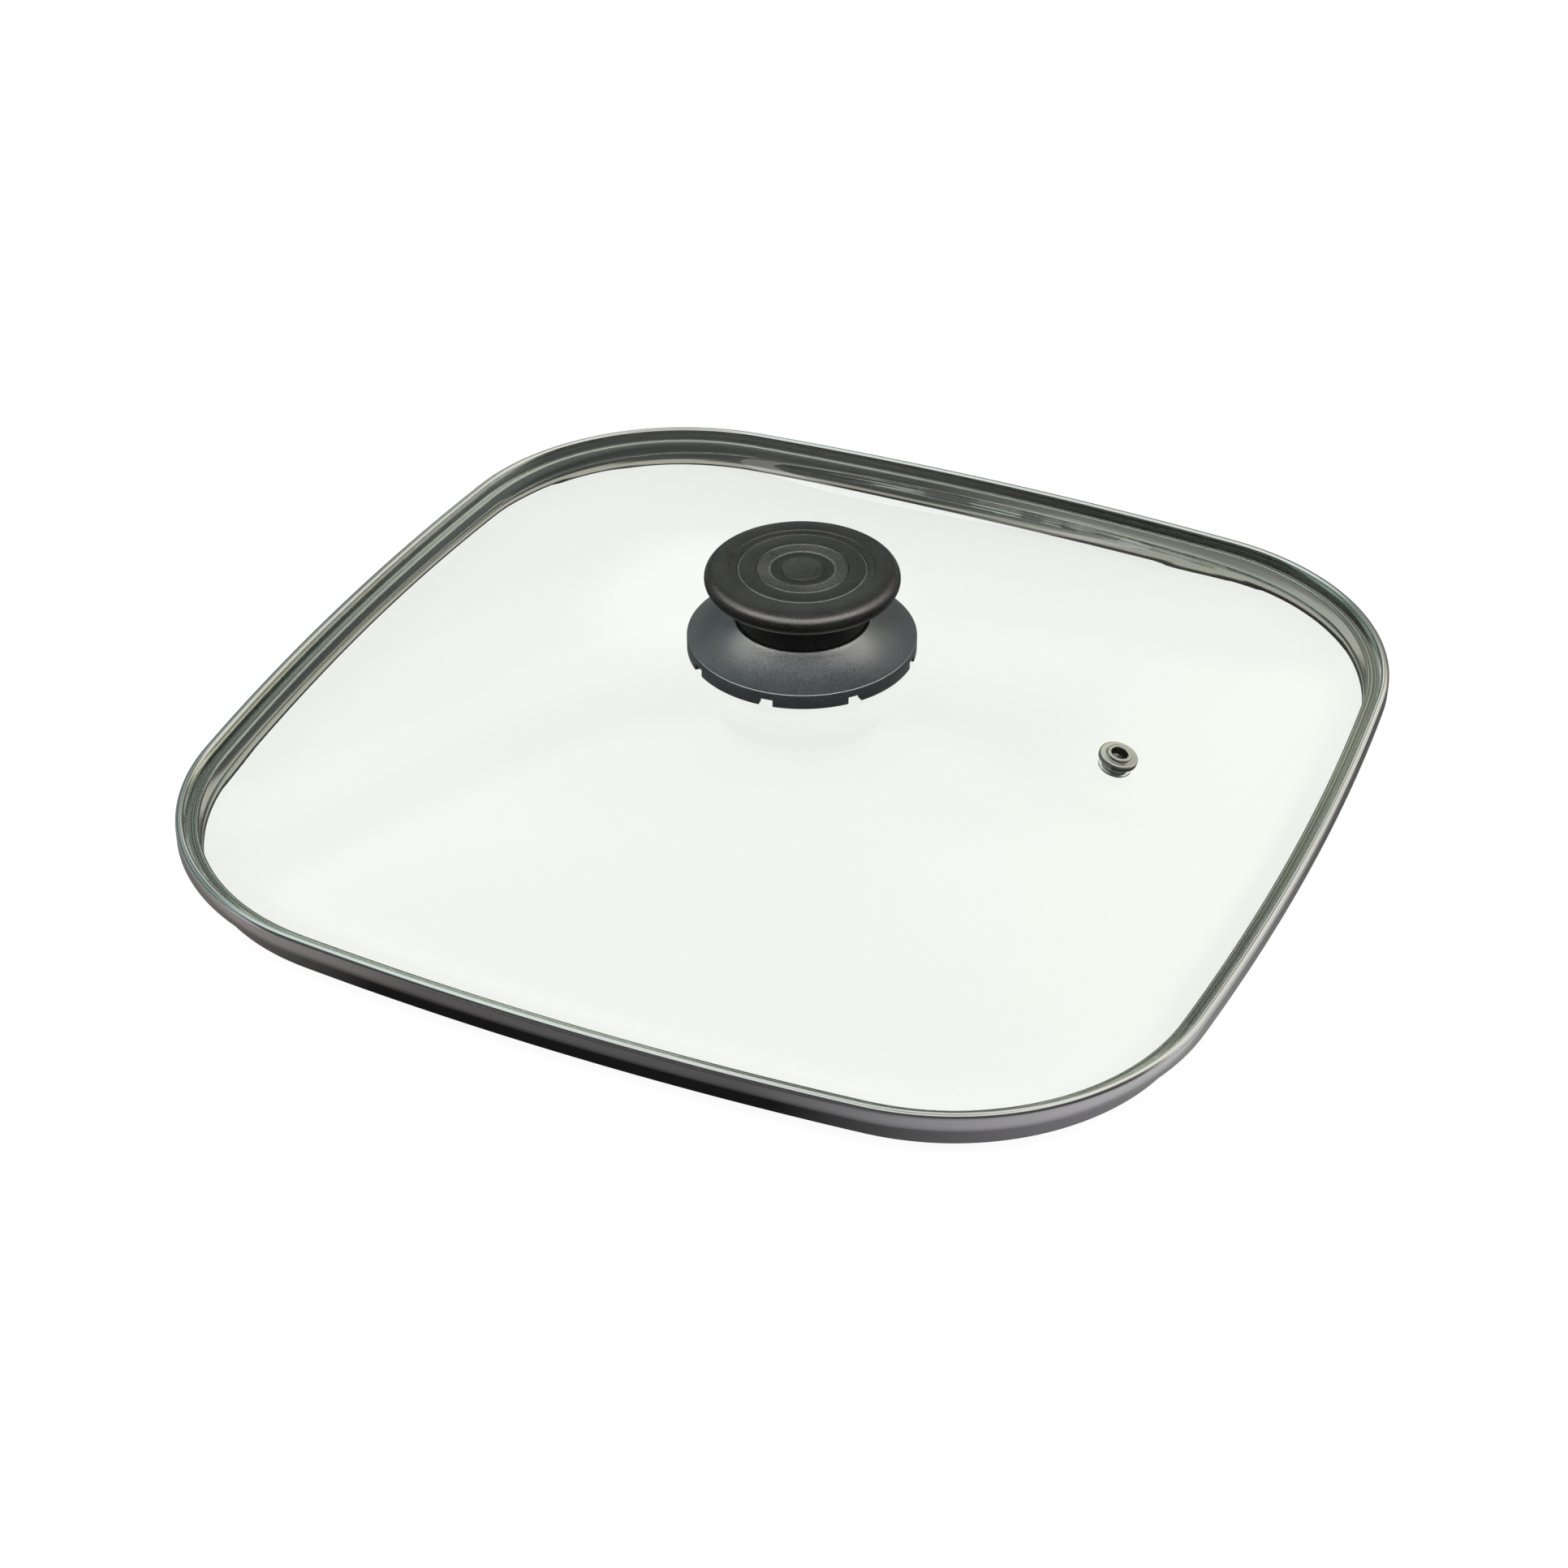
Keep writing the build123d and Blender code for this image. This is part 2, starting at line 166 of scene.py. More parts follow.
def roundedChain(corners, arcSteps=5):  # corners: (out, up, radius), in mm
    chain = []
    for i, (out, up, radius) in enumerate(corners):
        here = Vector((out, up))
        if radius <= 0 or i in (0, len(corners) - 1):
            chain.append(here)
            continue
        before = (Vector(corners[i - 1][:2]) - here).normalized()
        after = (Vector(corners[i + 1][:2]) - here).normalized()
        half = before.angle(after) / 2
        middle = here + (before + after).normalized() * radius / sin(half)
        start = here + before * radius / tan(half) - middle
        end = here + after * radius / tan(half) - middle
        first = atan2(start.y, start.x)
        turn = (atan2(end.y, end.x) - first + pi) % (2 * pi) - pi
        for step in range(arcSteps + 1):
            angle = first + turn * step / arcSteps
            chain.append(middle + radius * Vector((cos(angle), sin(angle))))
    return chain


def lineMesh(name, chain, **layers):  # vertices at (out, up), in mm; layers hold a number for each
    mesh = bpy.data.meshes.new(name)
    points = [(p[0] * mm, 0, p[1] * mm) for p in chain]
    mesh.from_pydata(points, [(i, i + 1) for i in range(len(points) - 1)], [])
    across = [0.0]
    for i in range(1, len(points)):
        across.append(across[-1] + (Vector(points[i]) - Vector(points[i - 1])).length)
    for layer, numbers in {"across": across, **layers}.items():
        mesh.attributes.new(layer, "FLOAT", "POINT").data.foreach_set("value", numbers)
    return mesh


def loopCurve(name, points):  # a closed line, in mm, that trees follow
    curve = bpy.data.curves.new(name, "CURVE")
    curve.dimensions = "3D"
    spline = curve.splines.new("POLY")
    spline.points.add(len(points) - 1)
    spline.points.foreach_set("co", [c for x, y in points for c in (x * mm, y * mm, 0, 1)])
    spline.use_cyclic_u = True
    return addObject(name, curve)


def rowAndColumn(tree, rows):  # of each vertex of a grid, also on its face corners
    index = made(tree, "InputIndex")
    place = made(tree, "FieldOnDomain", {"Value": index}, domain="POINT", data_type="INT")
    column = calc(tree, "FLOOR", divide(tree, add(tree, place, 0.5), rows))
    row = minus(tree, place, times(tree, column, rows))
    return row, column


def fromLine(tree, line, row, value, kind="FLOAT"):  # what the profile line holds at a row
    return made(tree, "SampleIndex", {"Geometry": line, "Value": value, "Index": row},
        data_type=kind, domain="POINT")


def named(tree, name):
    return made(tree, "InputNamedAttribute", {"Name": name}, data_type="FLOAT")


def gridOnPath(tree, given, path, columns):  # a column for each step of the path, a row for each profile point
    rows = addNode(tree, "AttributeDomainSize", {"Geometry": given["Geometry"]}).outputs["Point Count"]
    grid = addNode(tree, "MeshGrid",
        {"Vertices X": add(tree, columns, 1.0), "Vertices Y": rows}).outputs["Mesh"]
    row, column = rowAndColumn(tree, rows)
    share = divide(tree, column, columns)
    spot = addNode(tree, "SampleCurve", {"Curves": path, "Factor": share},
        mode="FACTOR", use_all_curves=True).outputs
    outward = vectorCalc(tree, "NORMALIZE", vectorCalc(tree, "CROSS_PRODUCT", spot["Tangent"], (0, 0, 1)))
    return grid, row, share, spot["Position"], outward


# A profile line carried round a closed path: rims, turned knobs, washers, eyelets.
tree, given = newTree("sweepProfile", {
    "Path": ("Object", None), "Segments": ("Int", 96), "Tilt": ("Rotation", None), "Place": ("Vector", None),
    "Material": ("Material", None)})
path = fromObject(tree, given["Path"])
grid, row, share, onPath, outward = gridOnPath(tree, given, path, given["Segments"])
profileSpot = fromLine(tree, given["Geometry"], row, made(tree, "InputPosition"), "FLOAT_VECTOR")
parts = addNode(tree, "ShaderNodeSeparateXYZ", {0: profileSpot}).outputs
sideways = vectorCalc(tree, "ADD", onPath, scaled(tree, outward, parts["X"]))
swept = addNode(tree, "SetPosition", {
    "Geometry": grid, "Position": vectorCalc(tree, "ADD", sideways, combined(tree, z=parts["Z"]))})
along = times(tree, share, made(tree, "CurveLength", {"Curve": path}))
across = fromLine(tree, given["Geometry"], row, named(tree, "across"))
marked = addNode(tree, "StoreNamedAttribute", {  # metres along the path and across the profile, as a UV map
    "Geometry": swept, "Name": "strip", "Value": combined(tree, along, across)}, data_type="FLOAT2", domain="CORNER")
closed = addNode(tree, "MergeByDistance", {"Geometry": marked, "Distance": weldDistance})
sweepTree = endTree(tree, placedAt(tree, closed, given["Place"], given["Tilt"]), given["Material"])


turnPath = loopCurve("turnPath", [(cos(2 * pi * i / 256), sin(2 * pi * i / 256)) for i in range(256)])  # 1 mm radius


def turnMesh(name, chain, material, segments, **more):  # a solid of revolution
    start = lineMesh(name + "Profile", [(p[0] - 1, p[1]) for p in chain])
    return growMesh(name, start, sweepTree, {"Path": turnPath, "Segments": segments, "Material": material, **more})


def turnPiece(name, chain, material, body, slotName, *nodes, segments, **more):
    return keepPiece(name, turnMesh(name, chain, material, segments, **more), body, slotName, *nodes)


def hoopProfile(inner, outer, low, high, soft):  # section of a flat ring with softened edges
    middle = (inner + outer) / 2
    return roundedChain([(middle, low, 0), (outer, low, soft), (outer, high, soft), (inner, high, soft),
            (inner, low, soft), (middle, low, 0)], 4)


def aroundAxis(tree, shape, count, first):  # copies of a shape, evenly round the vertical axis
    spots = addNode(tree, "Points", {"Count": count})
    index = made(tree, "InputIndex")
    angle = add(tree, first, divide(tree, times(tree, index, 2 * pi), count))
    facing = made(tree, "FunctionNodeAxisAngleToRotation", {"Axis": (0, 0, 1), "Angle": angle})
    copies = addNode(tree, "InstanceOnPoints", {"Points": spots, "Instance": shape, "Rotation": facing})
    return addNode(tree, "RealizeInstances", {"Geometry": copies})


# Cuts a ring of slots out of a turned piece and sets a ring of blades into it.
tree, given = newTree("slotsAndBlades", {
    "Slots": ("Int", 8), "Slot Size": ("Vector", None), "Slot Place": ("Vector", None), "First Slot": ("Float", 0.0),
    "Blade": ("Object", None), "Blades": ("Int", 4), "First Blade": ("Float", 0.0), "Material": ("Material", None)})
box = addNode(tree, "MeshCube", {"Size": given["Slot Size"]}).outputs["Mesh"]
slots = aroundAxis(tree, placedAt(tree, box, given["Slot Place"]), given["Slots"], given["First Slot"])
blades = aroundAxis(tree, fromObject(tree, given["Blade"]), given["Blades"], given["First Blade"])
trimTree = endTree(tree, joined(tree, cutBy(tree, given["Geometry"], slots), blades), given["Material"])


def bladeObject(name, outline, thickness):  # a flat rib; its outline is (out, up), in mm
    mesh = bpy.data.meshes.new(name)
    count = len(outline)
    points = [(out * mm, side * thickness / 2 * mm, up * mm) for side in (-1, 1) for out, up in outline]
    faces = [tuple(range(count)), tuple(range(2 * count - 1, count - 1, -1))]
    faces += [(i, i + count, (i + 1) % count + count, (i + 1) % count) for i in range(count)]
    mesh.from_pydata(points, [], faces)
    return addObject(name, mesh)


def newMaterial(name):
    material = bpy.data.materials.new(name)
    material.use_nodes = True
    tree = material.node_tree
    tree.nodes.clear()
    return material, tree


def endMaterial(tree, surface):
    addNode(tree, "OutputMaterial", {"Surface": surface})


def noise(tree, where, scale, detail=3.0, rough=0.5):
    return made(tree, "TexNoise",
        {"Vector": where, "Scale": scale, "Detail": detail, "Roughness": rough})


def ramp(tree, value, *stops):  # stops: (place, colour or grey)
    node = addNode(tree, "ValToRGB", {0: value})
    while len(node.color_ramp.elements) < len(stops):
        node.color_ramp.elements.new(0.5)
    for element, (place, colour) in zip(node.color_ramp.elements, stops):
        element.position = place
        element.color = (*colour, 1) if isinstance(colour, tuple) else (colour, colour, colour, 1)
    return node.outputs[0]


def bump(tree, height, distance):
    return made(tree, "Bump", {"Height": height, "Distance": distance})


def spread(tree, value, low, high, least, most):  # low to high of a value made least to most
    return made(tree, "MapRange",
        {"Value": value, "From Min": low, "From Max": high, "To Min": least, "To Max": most})


def mapped(tree, where, scale):
    return made(tree, "Mapping", {"Vector": where, "Scale": scale})


def objectSpot(tree):
    return addNode(tree, "TexCoord").outputs["Object"]


def stripSpot(tree):
    return made(tree, "UVMap", uv_map="strip")


def stripAxes(tree):
    return addNode(tree, "ShaderNodeSeparateXYZ", {0: stripSpot(tree)}).outputs


glassLook = {"facing": (0.883, 0.893, 0.869), "grazing": (0.972, 0.977, 0.965), "facingTo": 0.2, "grazingFrom": 0.75,
    "ior": 1.5, "coating": 0.4}
clearGlass, tree = newMaterial("temperedGlass")  # low-reflection glass, a little clearer at a slant
slant = addNode(tree, "LayerWeight", {"Blend": 0.5}).outputs["Facing"]
through = addNode(tree, "BsdfRefraction", {
    "Color": ramp(tree, slant, (glassLook["facingTo"], glassLook["facing"]),
        (glassLook["grazingFrom"], glassLook["grazing"])),
    "Roughness": 0.0, "IOR": glassLook["ior"]})
sheen = addNode(tree, "BsdfAnisotropic", {"Color": (1, 1, 1, 1), "Roughness": 0.0})
fresnel = made(tree, "Fresnel", {"IOR": glassLook["ior"]})
mirrored = calc(tree, "MULTIPLY_ADD", calc(tree, "POWER", fresnel, 4.0), 1 - glassLook["coating"],
    times(tree, fresnel, glassLook["coating"]))
endMaterial(tree, addNode(tree, "MixShader", {0: mirrored, 1: through.outputs[0], 2: sheen.outputs[0]}))


def inZone(tree, value, low, high, soft):  # 1 between low and high, 0 elsewhere, eased over soft
    return times(tree, between(tree, value, low - soft, low + soft, 0.0, 1.0),
        between(tree, value, high - soft, high + soft, 1.0, 0.0))


def between(tree, value, low, high, first, second):  # first below low, second above high, eased between
    share = made(tree, "MapRange", {"Value": value, "From Min": low, "From Max": high},
        interpolation_type="SMOOTHSTEP")
    return made(tree, "Mix", {"Factor": share, "A": first, "B": second}, data_type="FLOAT")


def blend(tree, share, first, second):  # of two colours
    return addNode(tree, "Mix", {"Factor": share, "A": first, "B": second}, data_type="RGBA").outputs[2]


# The dark olive colour, with its edge and its roughness, is painted shade for the shaded inside of the vent's bore.
steelLook = {"scratch": 0.000004, "lineDark": (0.2, 0.2, 0.19), "lineBright": (0.82, 0.82, 0.79), "lineEdge": 0.0002,
    "rolling": (2.2, 1900, 1), "patches": (18, 90, 1), "paintedShade": (0.1, 0.11, 0.075, 1), "paintedShadeEdge": 0.0003,
    "paintedShadeRough": 0.6}


def rolledSteel(name, low, high, roughLow, roughHigh, stretch, lined=None, paintedShadeZone=None):
    # rolled along its length, with coarse lines, and with a part across its profile painted dark olive and rougher as
    # painted shade
    material, tree = newMaterial(name)
    lines = noise(tree, mapped(tree, stripSpot(tree), stretch), 1.0, 5.0, 0.62)
    patches = noise(tree, mapped(tree, stripSpot(tree), steelLook["patches"]), 1.0, 2.0)
    colour = ramp(tree, lines, (0.3, low), (0.7, high))
    rough = spread(tree, times(tree, add(tree, lines, patches), 0.5), 0.35, 0.65, roughLow, roughHigh)
    across = stripAxes(tree)["Y"]
    if lined:
        coarse = noise(tree, mapped(tree, stripSpot(tree), steelLook["rolling"]), 1.0, 3.0, 0.6)
        rolled = ramp(tree, coarse, (0.36, steelLook["lineDark"]), (0.64, steelLook["lineBright"]))
        colour = blend(tree, inZone(tree, across, *lined, steelLook["lineEdge"]), colour, rolled)
    if paintedShadeZone:
        # painted shade: this zone across the profile is darkened to dark olive and made rougher
        paintedShade = inZone(tree, across, *paintedShadeZone, steelLook["paintedShadeEdge"])
        colour = blend(tree, paintedShade, colour, steelLook["paintedShade"])
        rough = calc(tree, "MAXIMUM", rough, times(tree, paintedShade, steelLook["paintedShadeRough"]))
    endMaterial(tree, addNode(tree, "BsdfPrincipled", {
        "Base Color": colour, "Metallic": 1.0, "Roughness": rough,
        "Normal": bump(tree, lines, steelLook["scratch"])}))
    return material


screwSteel = rolledSteel("zincPlate", (0.56, 0.57, 0.58), (0.7, 0.71, 0.72), 0.2, 0.35, (300, 6000, 1))


plasticLook = {"cloud": 90.0, "cloudShare": 0.6, "speck": 1500.0, "speckShare": 0.4, "ringGain": 10.0}


def mouldedPlastic(name, dark, light, roughLow, roughHigh, grain, gloss=0.5, rings=()):  # rings: (radius, brightness)
    material, tree = newMaterial(name)
    where = objectSpot(tree)
    cloud = noise(tree, where, plasticLook["cloud"], 4.0, 0.6)
    speck = noise(tree, where, plasticLook["speck"], 3.0, 0.7)
    mottle = add(tree, times(tree, cloud, plasticLook["cloudShare"]), times(tree, speck, plasticLook["speckShare"]))
    colour = ramp(tree, mottle, (0.35, dark), (0.7, light))
    # bright thin rings in the table are painted highlights along edges
    if rings:
        flat = vectorCalc(tree, "MULTIPLY", where, (1, 1, 0))
        away = divide(tree, vectorCalc(tree, "LENGTH", flat), rings[-1][0] * mm)
        bright = ramp(tree, away, *[(radius / rings[-1][0], value) for radius, value in rings])
        colour = vectorCalc(tree, "MULTIPLY", colour, times(tree, bright, plasticLook["ringGain"]))
    rough = spread(tree, speck, 0.3, 0.7, roughLow, roughHigh)
    endMaterial(tree, addNode(tree, "BsdfPrincipled", {
        "Base Color": colour, "Roughness": rough, "Specular IOR Level": gloss,
        "Normal": bump(tree, speck, grain)}))
    return material


gripPlastic = mouldedPlastic("blackPhenolic", dark=(0.002, 0.002, 0.002), light=(0.014, 0.0135, 0.013),
    roughLow=0.24, roughHigh=0.38, grain=0.00006, gloss=0.18)
# The base's copy of the black phenolic is lighter and bluer than the grip's: a painted sheen over the whole base.
basePlasticWithSheen = mouldedPlastic("blackPhenolicBasePaintedSheen", dark=(0.012, 0.015, 0.018), light=(0.034, 0.04, 0.045),
    roughLow=0.28, roughHigh=0.42, grain=0.00004)
# Brightness by radius over the inlay's top: a lighter centre disc, a darker sunk ring and a lighter textured ring. The
# thin bright rings at r 8.9 to 9.15 (the sink's outer edge) and r 17.6 to 18 (the inlay's rim) are painted highlights.
inlayRingsAndHighlights = ((0.0, 0.16), (5.6, 0.16), (5.8, 0.03), (8.7, 0.03), (8.9, 0.85), (9.15, 0.85), (9.4, 0.3), (12.4, 0.28),
    (12.7, 0.08), (17.4, 0.08), (17.6, 0.85), (18.0, 0.85))
inlayPlastic = mouldedPlastic("texturedPhenolic", dark=(0.002, 0.002, 0.002), light=(0.015, 0.015, 0.015),
    roughLow=0.24, roughHigh=0.38, grain=0.00006, gloss=0.18, rings=inlayRingsAndHighlights)
silicone, tree = newMaterial("clearSilicone")
endMaterial(tree, addNode(tree, "BsdfPrincipled", {
    "Base Color": ramp(tree, noise(tree, objectSpot(tree), 400.0),
        (0.3, (0.86, 0.87, 0.85)), (0.7, (0.93, 0.94, 0.92))),
    "Roughness": 0.12, "IOR": 1.41, "Transmission Weight": 0.95}))
brass, tree = newMaterial("turnedBrass")
grain = noise(tree, mapped(tree, objectSpot(tree), (200, 200, 5000)), 1.0)
endMaterial(tree, addNode(tree, "BsdfPrincipled", {
    "Base Color": ramp(tree, grain, (0.3, (0.55, 0.36, 0.13)), (0.7, (0.75, 0.53, 0.23))), "Metallic": 1.0,
    "Roughness": 0.28}))
print("materials made")


lid = {"halfSide": 150.0, "sideRadius": 913.0, "cornerRadius": 73.2, "rimTop": 13.8}
dome = {"inset": 12.0, "rise": 26.9, "ease": 0.03, "top": 13.1, "thickness": 4.0}
sideOffset = lid["sideRadius"] - lid["halfSide"]
radiusStep = lid["sideRadius"] - lid["cornerRadius"]
cornerCentre = (sqrt(2 * radiusStep ** 2 - sideOffset ** 2) - sideOffset) / 2
domeHalf = lid["halfSide"] - dome["inset"]


def squareLoop(inset, steps=48):  # the lid's outline: four shallow arcs and four corner arcs, in mm
    side = lid["sideRadius"] - inset
    corner = lid["cornerRadius"] - inset
    bow = atan2(cornerCentre, cornerCentre + sideOffset)
    points = []
    for quarter in range(4):
        turn = Matrix.Rotation(quarter * pi / 2, 2)
        for step in range(steps):
            angle = bow * (2 * step / steps - 1)
            points.append(turn @ Vector((side * cos(angle) - sideOffset, side * sin(angle))))
        for step in range(steps):
            angle = bow + (pi / 2 - 2 * bow) * step / steps
            points.append(turn @ Vector((cornerCentre + corner * cos(angle), cornerCentre + corner * sin(angle))))
    return points


def domeHeight(share):
    return dome["top"] + dome["rise"] * dome["ease"] * log(1 + exp((1 - share ** 2) / dome["ease"]))


rim = {"sheet": 0.5, "crown": 1.3, "curl": 1.15, "curlAngle": 58, "toe": 0.16, "wallHeight": 5.4,
       "skirtInset": 5.8, "hemHeight": 2.9, "bend": 0.75, "gap": 0.06, "segments": 384}


def bentSheet(face, thicknesses):  # closes a sheet's outer face with its inner face and two rolled ends
    inner = []
    for i, point in enumerate(face):
        ahead = face[min(i + 1, len(face) - 1)] - face[max(i - 1, 0)]
        inner.append(point + Vector((ahead.y, -ahead.x)).normalized() * thicknesses[i])
    loop = list(face)
    for outerEnd, innerEnd in ((face[-1], inner[-1]), (inner[0], face[0])):
        middle, arm = (outerEnd + innerEnd) / 2, (outerEnd - innerEnd) / 2
        loop += [middle + Matrix.Rotation(-pi * step / 6, 2) @ arm for step in range(1, 6)]
        loop += inner[::-1] if outerEnd == face[-1] else []
    return loop + loop[:1]


ledge = lid["rimTop"] - rim["wallHeight"]
foldStep = 2 * rim["sheet"] + rim["gap"]
skirt = -rim["skirtInset"]
curlMiddle = Vector((-rim["crown"], lid["rimTop"] - rim["curl"]))
lipFace = [curlMiddle + rim["curl"] * Vector((-sin(a), cos(a)))
    for a in [radians(rim["curlAngle"]) * (1 - step / 8) for step in range(9)]]
lipThickness = [rim["toe"] + (rim["sheet"] - rim["toe"]) * step / 8 for step in range(9)]
restFace = roundedChain([
    (-rim["crown"], lid["rimTop"], 0), (0, lid["rimTop"], rim["crown"] - 0.001), (0, ledge, rim["bend"]),
    (skirt, ledge, rim["bend"] - rim["sheet"] + 0.05), (skirt, 0, foldStep / 2),
    (skirt - foldStep, 0, foldStep / 2 - 0.001), (skirt - foldStep, rim["hemHeight"], 0)], 7)[1:]
rimFace = lipFace + restFace
rimProfile = bentSheet(rimFace, lipThickness + [rim["sheet"]] * len(restFace))
rimPath = loopCurve("rimPath", squareLoop(0))
walked, rimAcross = 0.0, []
for i, point in enumerate(rimProfile):
    walked += (point - rimProfile[i - 1]).length * mm if i else 0.0
    rimAcross.append(walked)
channel = [walk for walk, point in zip(rimAcross[len(rimFace):], rimProfile[len(rimFace):])
    if ledge + 0.4 < point.y < lid["rimTop"] - 1.0]
rimSteel = rolledSteel("rolledStainless", (0.5, 0.49, 0.48), (0.66, 0.655, 0.65), 0.1, 0.22, (14, 9000, 1),
    lined=(min(channel), max(channel)))
roundRim = {"Path": rimPath, "Segments": rim["segments"], "Material": rimSteel}
rimMesh = growMesh("rimBand", lineMesh("rimProfile", rimProfile), sweepTree, roundRim)
keepPiece("rimBand", rimMesh, "lid", "rim_steel", "rim_band")
print("rim swept")


pane = {"inset": 0.7, "edgeRadius": 1.9, "screwHole": 4.0, "seatRadius": 10.0, "ventHole": 3.7, "columns": 320}
vent = {"distance": 93.5}
ventShare = vent["distance"] / domeHalf
ventNearness = 1 / (1 + exp(-(1 - ventShare ** 2) / dome["ease"]))
ventTilt = atan2(2 * ventShare * dome["rise"] * ventNearness, domeHalf)
ventSpot = Vector((vent["distance"], 0, domeHeight(ventShare))) * mm
glassTop = domeHeight(pane["seatRadius"] / domeHalf)
glassUnder = domeHeight(0) - dome["thickness"]

tree, given = newTree("domedPane", {
    "Foot": ("Object", None), "Columns": ("Int", 320), "Foot Half": ("Float", 0.138), "Rise": ("Float", 0.0269),
    "Ease": ("Float", 0.03), "Top": ("Float", 0.0131), "Vent Place": ("Vector", None), "Vent Tilt": ("Float", 0.0),
    "Vent Radius": ("Float", 0.0037), "Material": ("Material", None)})
paneLayers = ("share", "beyond", "depth", "level")
grid, row, share, onPath, outward = gridOnPath(tree, given, fromObject(tree, given["Foot"]), given["Columns"])
footReach = vectorCalc(tree, "LENGTH", onPath)
shareIn, beyond, depth, level = (fromLine(tree, given["Geometry"], row, named(tree, layer)) for layer in paneLayers)
squareness = minus(tree, divide(tree, footReach, given["Foot Half"]), 1.0)
cube = calc(tree, "POWER", shareIn, 3.0)
reach = times(tree, given["Foot Half"], calc(tree, "MULTIPLY_ADD", squareness, cube, shareIn))
inside = scaled(tree, onPath, divide(tree, reach, footReach))
flatSpot = vectorCalc(tree, "ADD", inside, scaled(tree, outward, beyond))
shareOut = add(tree, shareIn, divide(tree, beyond, footReach))
fall = divide(tree, minus(tree, 1.0, calc(tree, "POWER", shareOut, 2.0)), given["Ease"])
grown = calc(tree, "EXPONENT", fall)
soft = calc(tree, "LOGARITHM", add(tree, grown, 1.0), exp(1))
height = times(tree, times(tree, given["Rise"], given["Ease"]), soft)
nearness = divide(tree, grown, add(tree, grown, 1.0))
slope = divide(tree, times(tree, times(tree, shareOut, 2.0), times(tree, given["Rise"], nearness)), footReach)
stretch = calc(tree, "SQRT", add(tree, calc(tree, "POWER", slope, 2.0), 1.0))
curved = minus(tree, add(tree, given["Top"], height), times(tree, depth, stretch))
isLevel = calc(tree, "GREATER_THAN", level, 0.0)
upAt = add(tree, times(tree, isLevel, level), times(tree, minus(tree, 1.0, isLevel), curved))
shaped = addNode(tree, "SetPosition", {
    "Geometry": grid, "Position": vectorCalc(tree, "ADD", flatSpot, combined(tree, z=upAt))})
closed = addNode(tree, "MergeByDistance", {"Geometry": shaped, "Distance": weldDistance})
drill = addNode(tree, "MeshCylinder", {
    "Vertices": 64, "Radius": given["Vent Radius"], "Depth": 0.02}).outputs["Mesh"]
tilt = made(tree, "FunctionNodeAxisAngleToRotation", {"Axis": (0, 1, 0), "Angle": given["Vent Tilt"]})
pierced = cutBy(tree, closed, placedAt(tree, drill, given["Vent Place"], tilt))
paneTree = endTree(tree, pierced, given["Material"], sharp=35.0)


def paneRows():  # paneLayers of each row: top face, rounded edge, underside, screw hole
    thick = dome["thickness"]
    seat, hole = pane["seatRadius"] / domeHalf, pane["screwHole"] / domeHalf
    edge = dome["inset"] - pane["inset"]
    top = [(hole, 0, 0, glassTop), (seat * 0.7, 0, 0, glassTop), (seat, 0, 0, glassTop)]
    shares = [seat + (1 - seat) * step / 36 for step in range(1, 37)]
    outs = [edge * step / 9 for step in range(1, 8)]
    rowsOut = top + [(s, 0, 0, 0) for s in shares] + [(1, out, 0, 0) for out in outs]
    for step in range(9):
        turn = pi * step / 8
        rowsOut.append((1, edge - pane["edgeRadius"] * (1 - sin(turn)), thick / 2 - thick / 2 * cos(turn), 0))
    rowsOut += [(1, out, thick, 0) for out in outs[::-1]] + [(s, 0, thick, 0) for s in shares[::-1]]
    rowsOut += [(seat, 0, thick, 0), (seat, 0, 0, glassUnder), (hole, 0, 0, glassUnder), top[0]]
    return [(share, beyond * mm, depth * mm, level * mm) for share, beyond, depth, level in rowsOut]


paneLine = paneRows()
paneStart = lineMesh("paneRows", [(i, 0) for i in range(len(paneLine))],
    **{layer: [row[i] for row in paneLine] for i, layer in enumerate(paneLayers)})
footPath = loopCurve("footPath", squareLoop(dome["inset"]))
glassMesh = growMesh("glassPane", paneStart, paneTree, {
    "Foot": footPath, "Columns": pane["columns"], "Foot Half": domeHalf * mm, "Rise": dome["rise"] * mm,
    "Ease": dome["ease"], "Top": dome["top"] * mm, "Vent Place": ventSpot, "Vent Tilt": ventTilt,
    "Vent Radius": pane["ventHole"] * mm, "Material": clearGlass})
glassPane = keepPiece("glassPane", glassMesh, "lid", "glass", "glass_pane")
glassPane.visible_shadow = False
glassPane.visible_diffuse = False
print("glass drawn:", len(glassPane.data.polygons), "faces")


knob = {"foot": 39.062, "baseRadius": 31.9, "baseWall": 4.5, "baseThickness": 2.3, "collarHeight": 9.9,
        "collarDepth": 2.0, "collarRim": 0.5, "bossRadius": 7.0, "bossHole": 2.75, "neckRadius": 18.2, "neckPlay": 0.3,
        "gripRadius": 27.0, "gripEdge": 3.0, "gripHeight": 25.4, "stepRadius": 20.1, "stepDrop": 0.25,
        "inlayRadius": 18.0, "inlayThickness": 1.8, "inlayGap": 0.12, "roof": 6.5, "insertRadius": 4.5,
        "coreRadius": 7.5, "hollowRadius": 15.2, "gasket": 1.0, "flareStart": 0.3, "webOut": 1.15}
baseRadius, bossRadius, bossHole, gripEdge = (knob[key] for key in ("baseRadius", "bossRadius", "bossHole", "gripEdge"))
wallTop = knob["foot"] + knob["baseWall"]
collarTop = knob["foot"] + knob["collarHeight"]
socketFloor = collarTop - knob["collarDepth"]
gripTop = knob["foot"] + knob["gripHeight"]
underside = gripTop - 2 * gripEdge
recessRim = gripTop - knob["stepDrop"]
recessFloor = recessRim - knob["inlayThickness"]
socketRadius = knob["neckRadius"] + knob["neckPlay"]
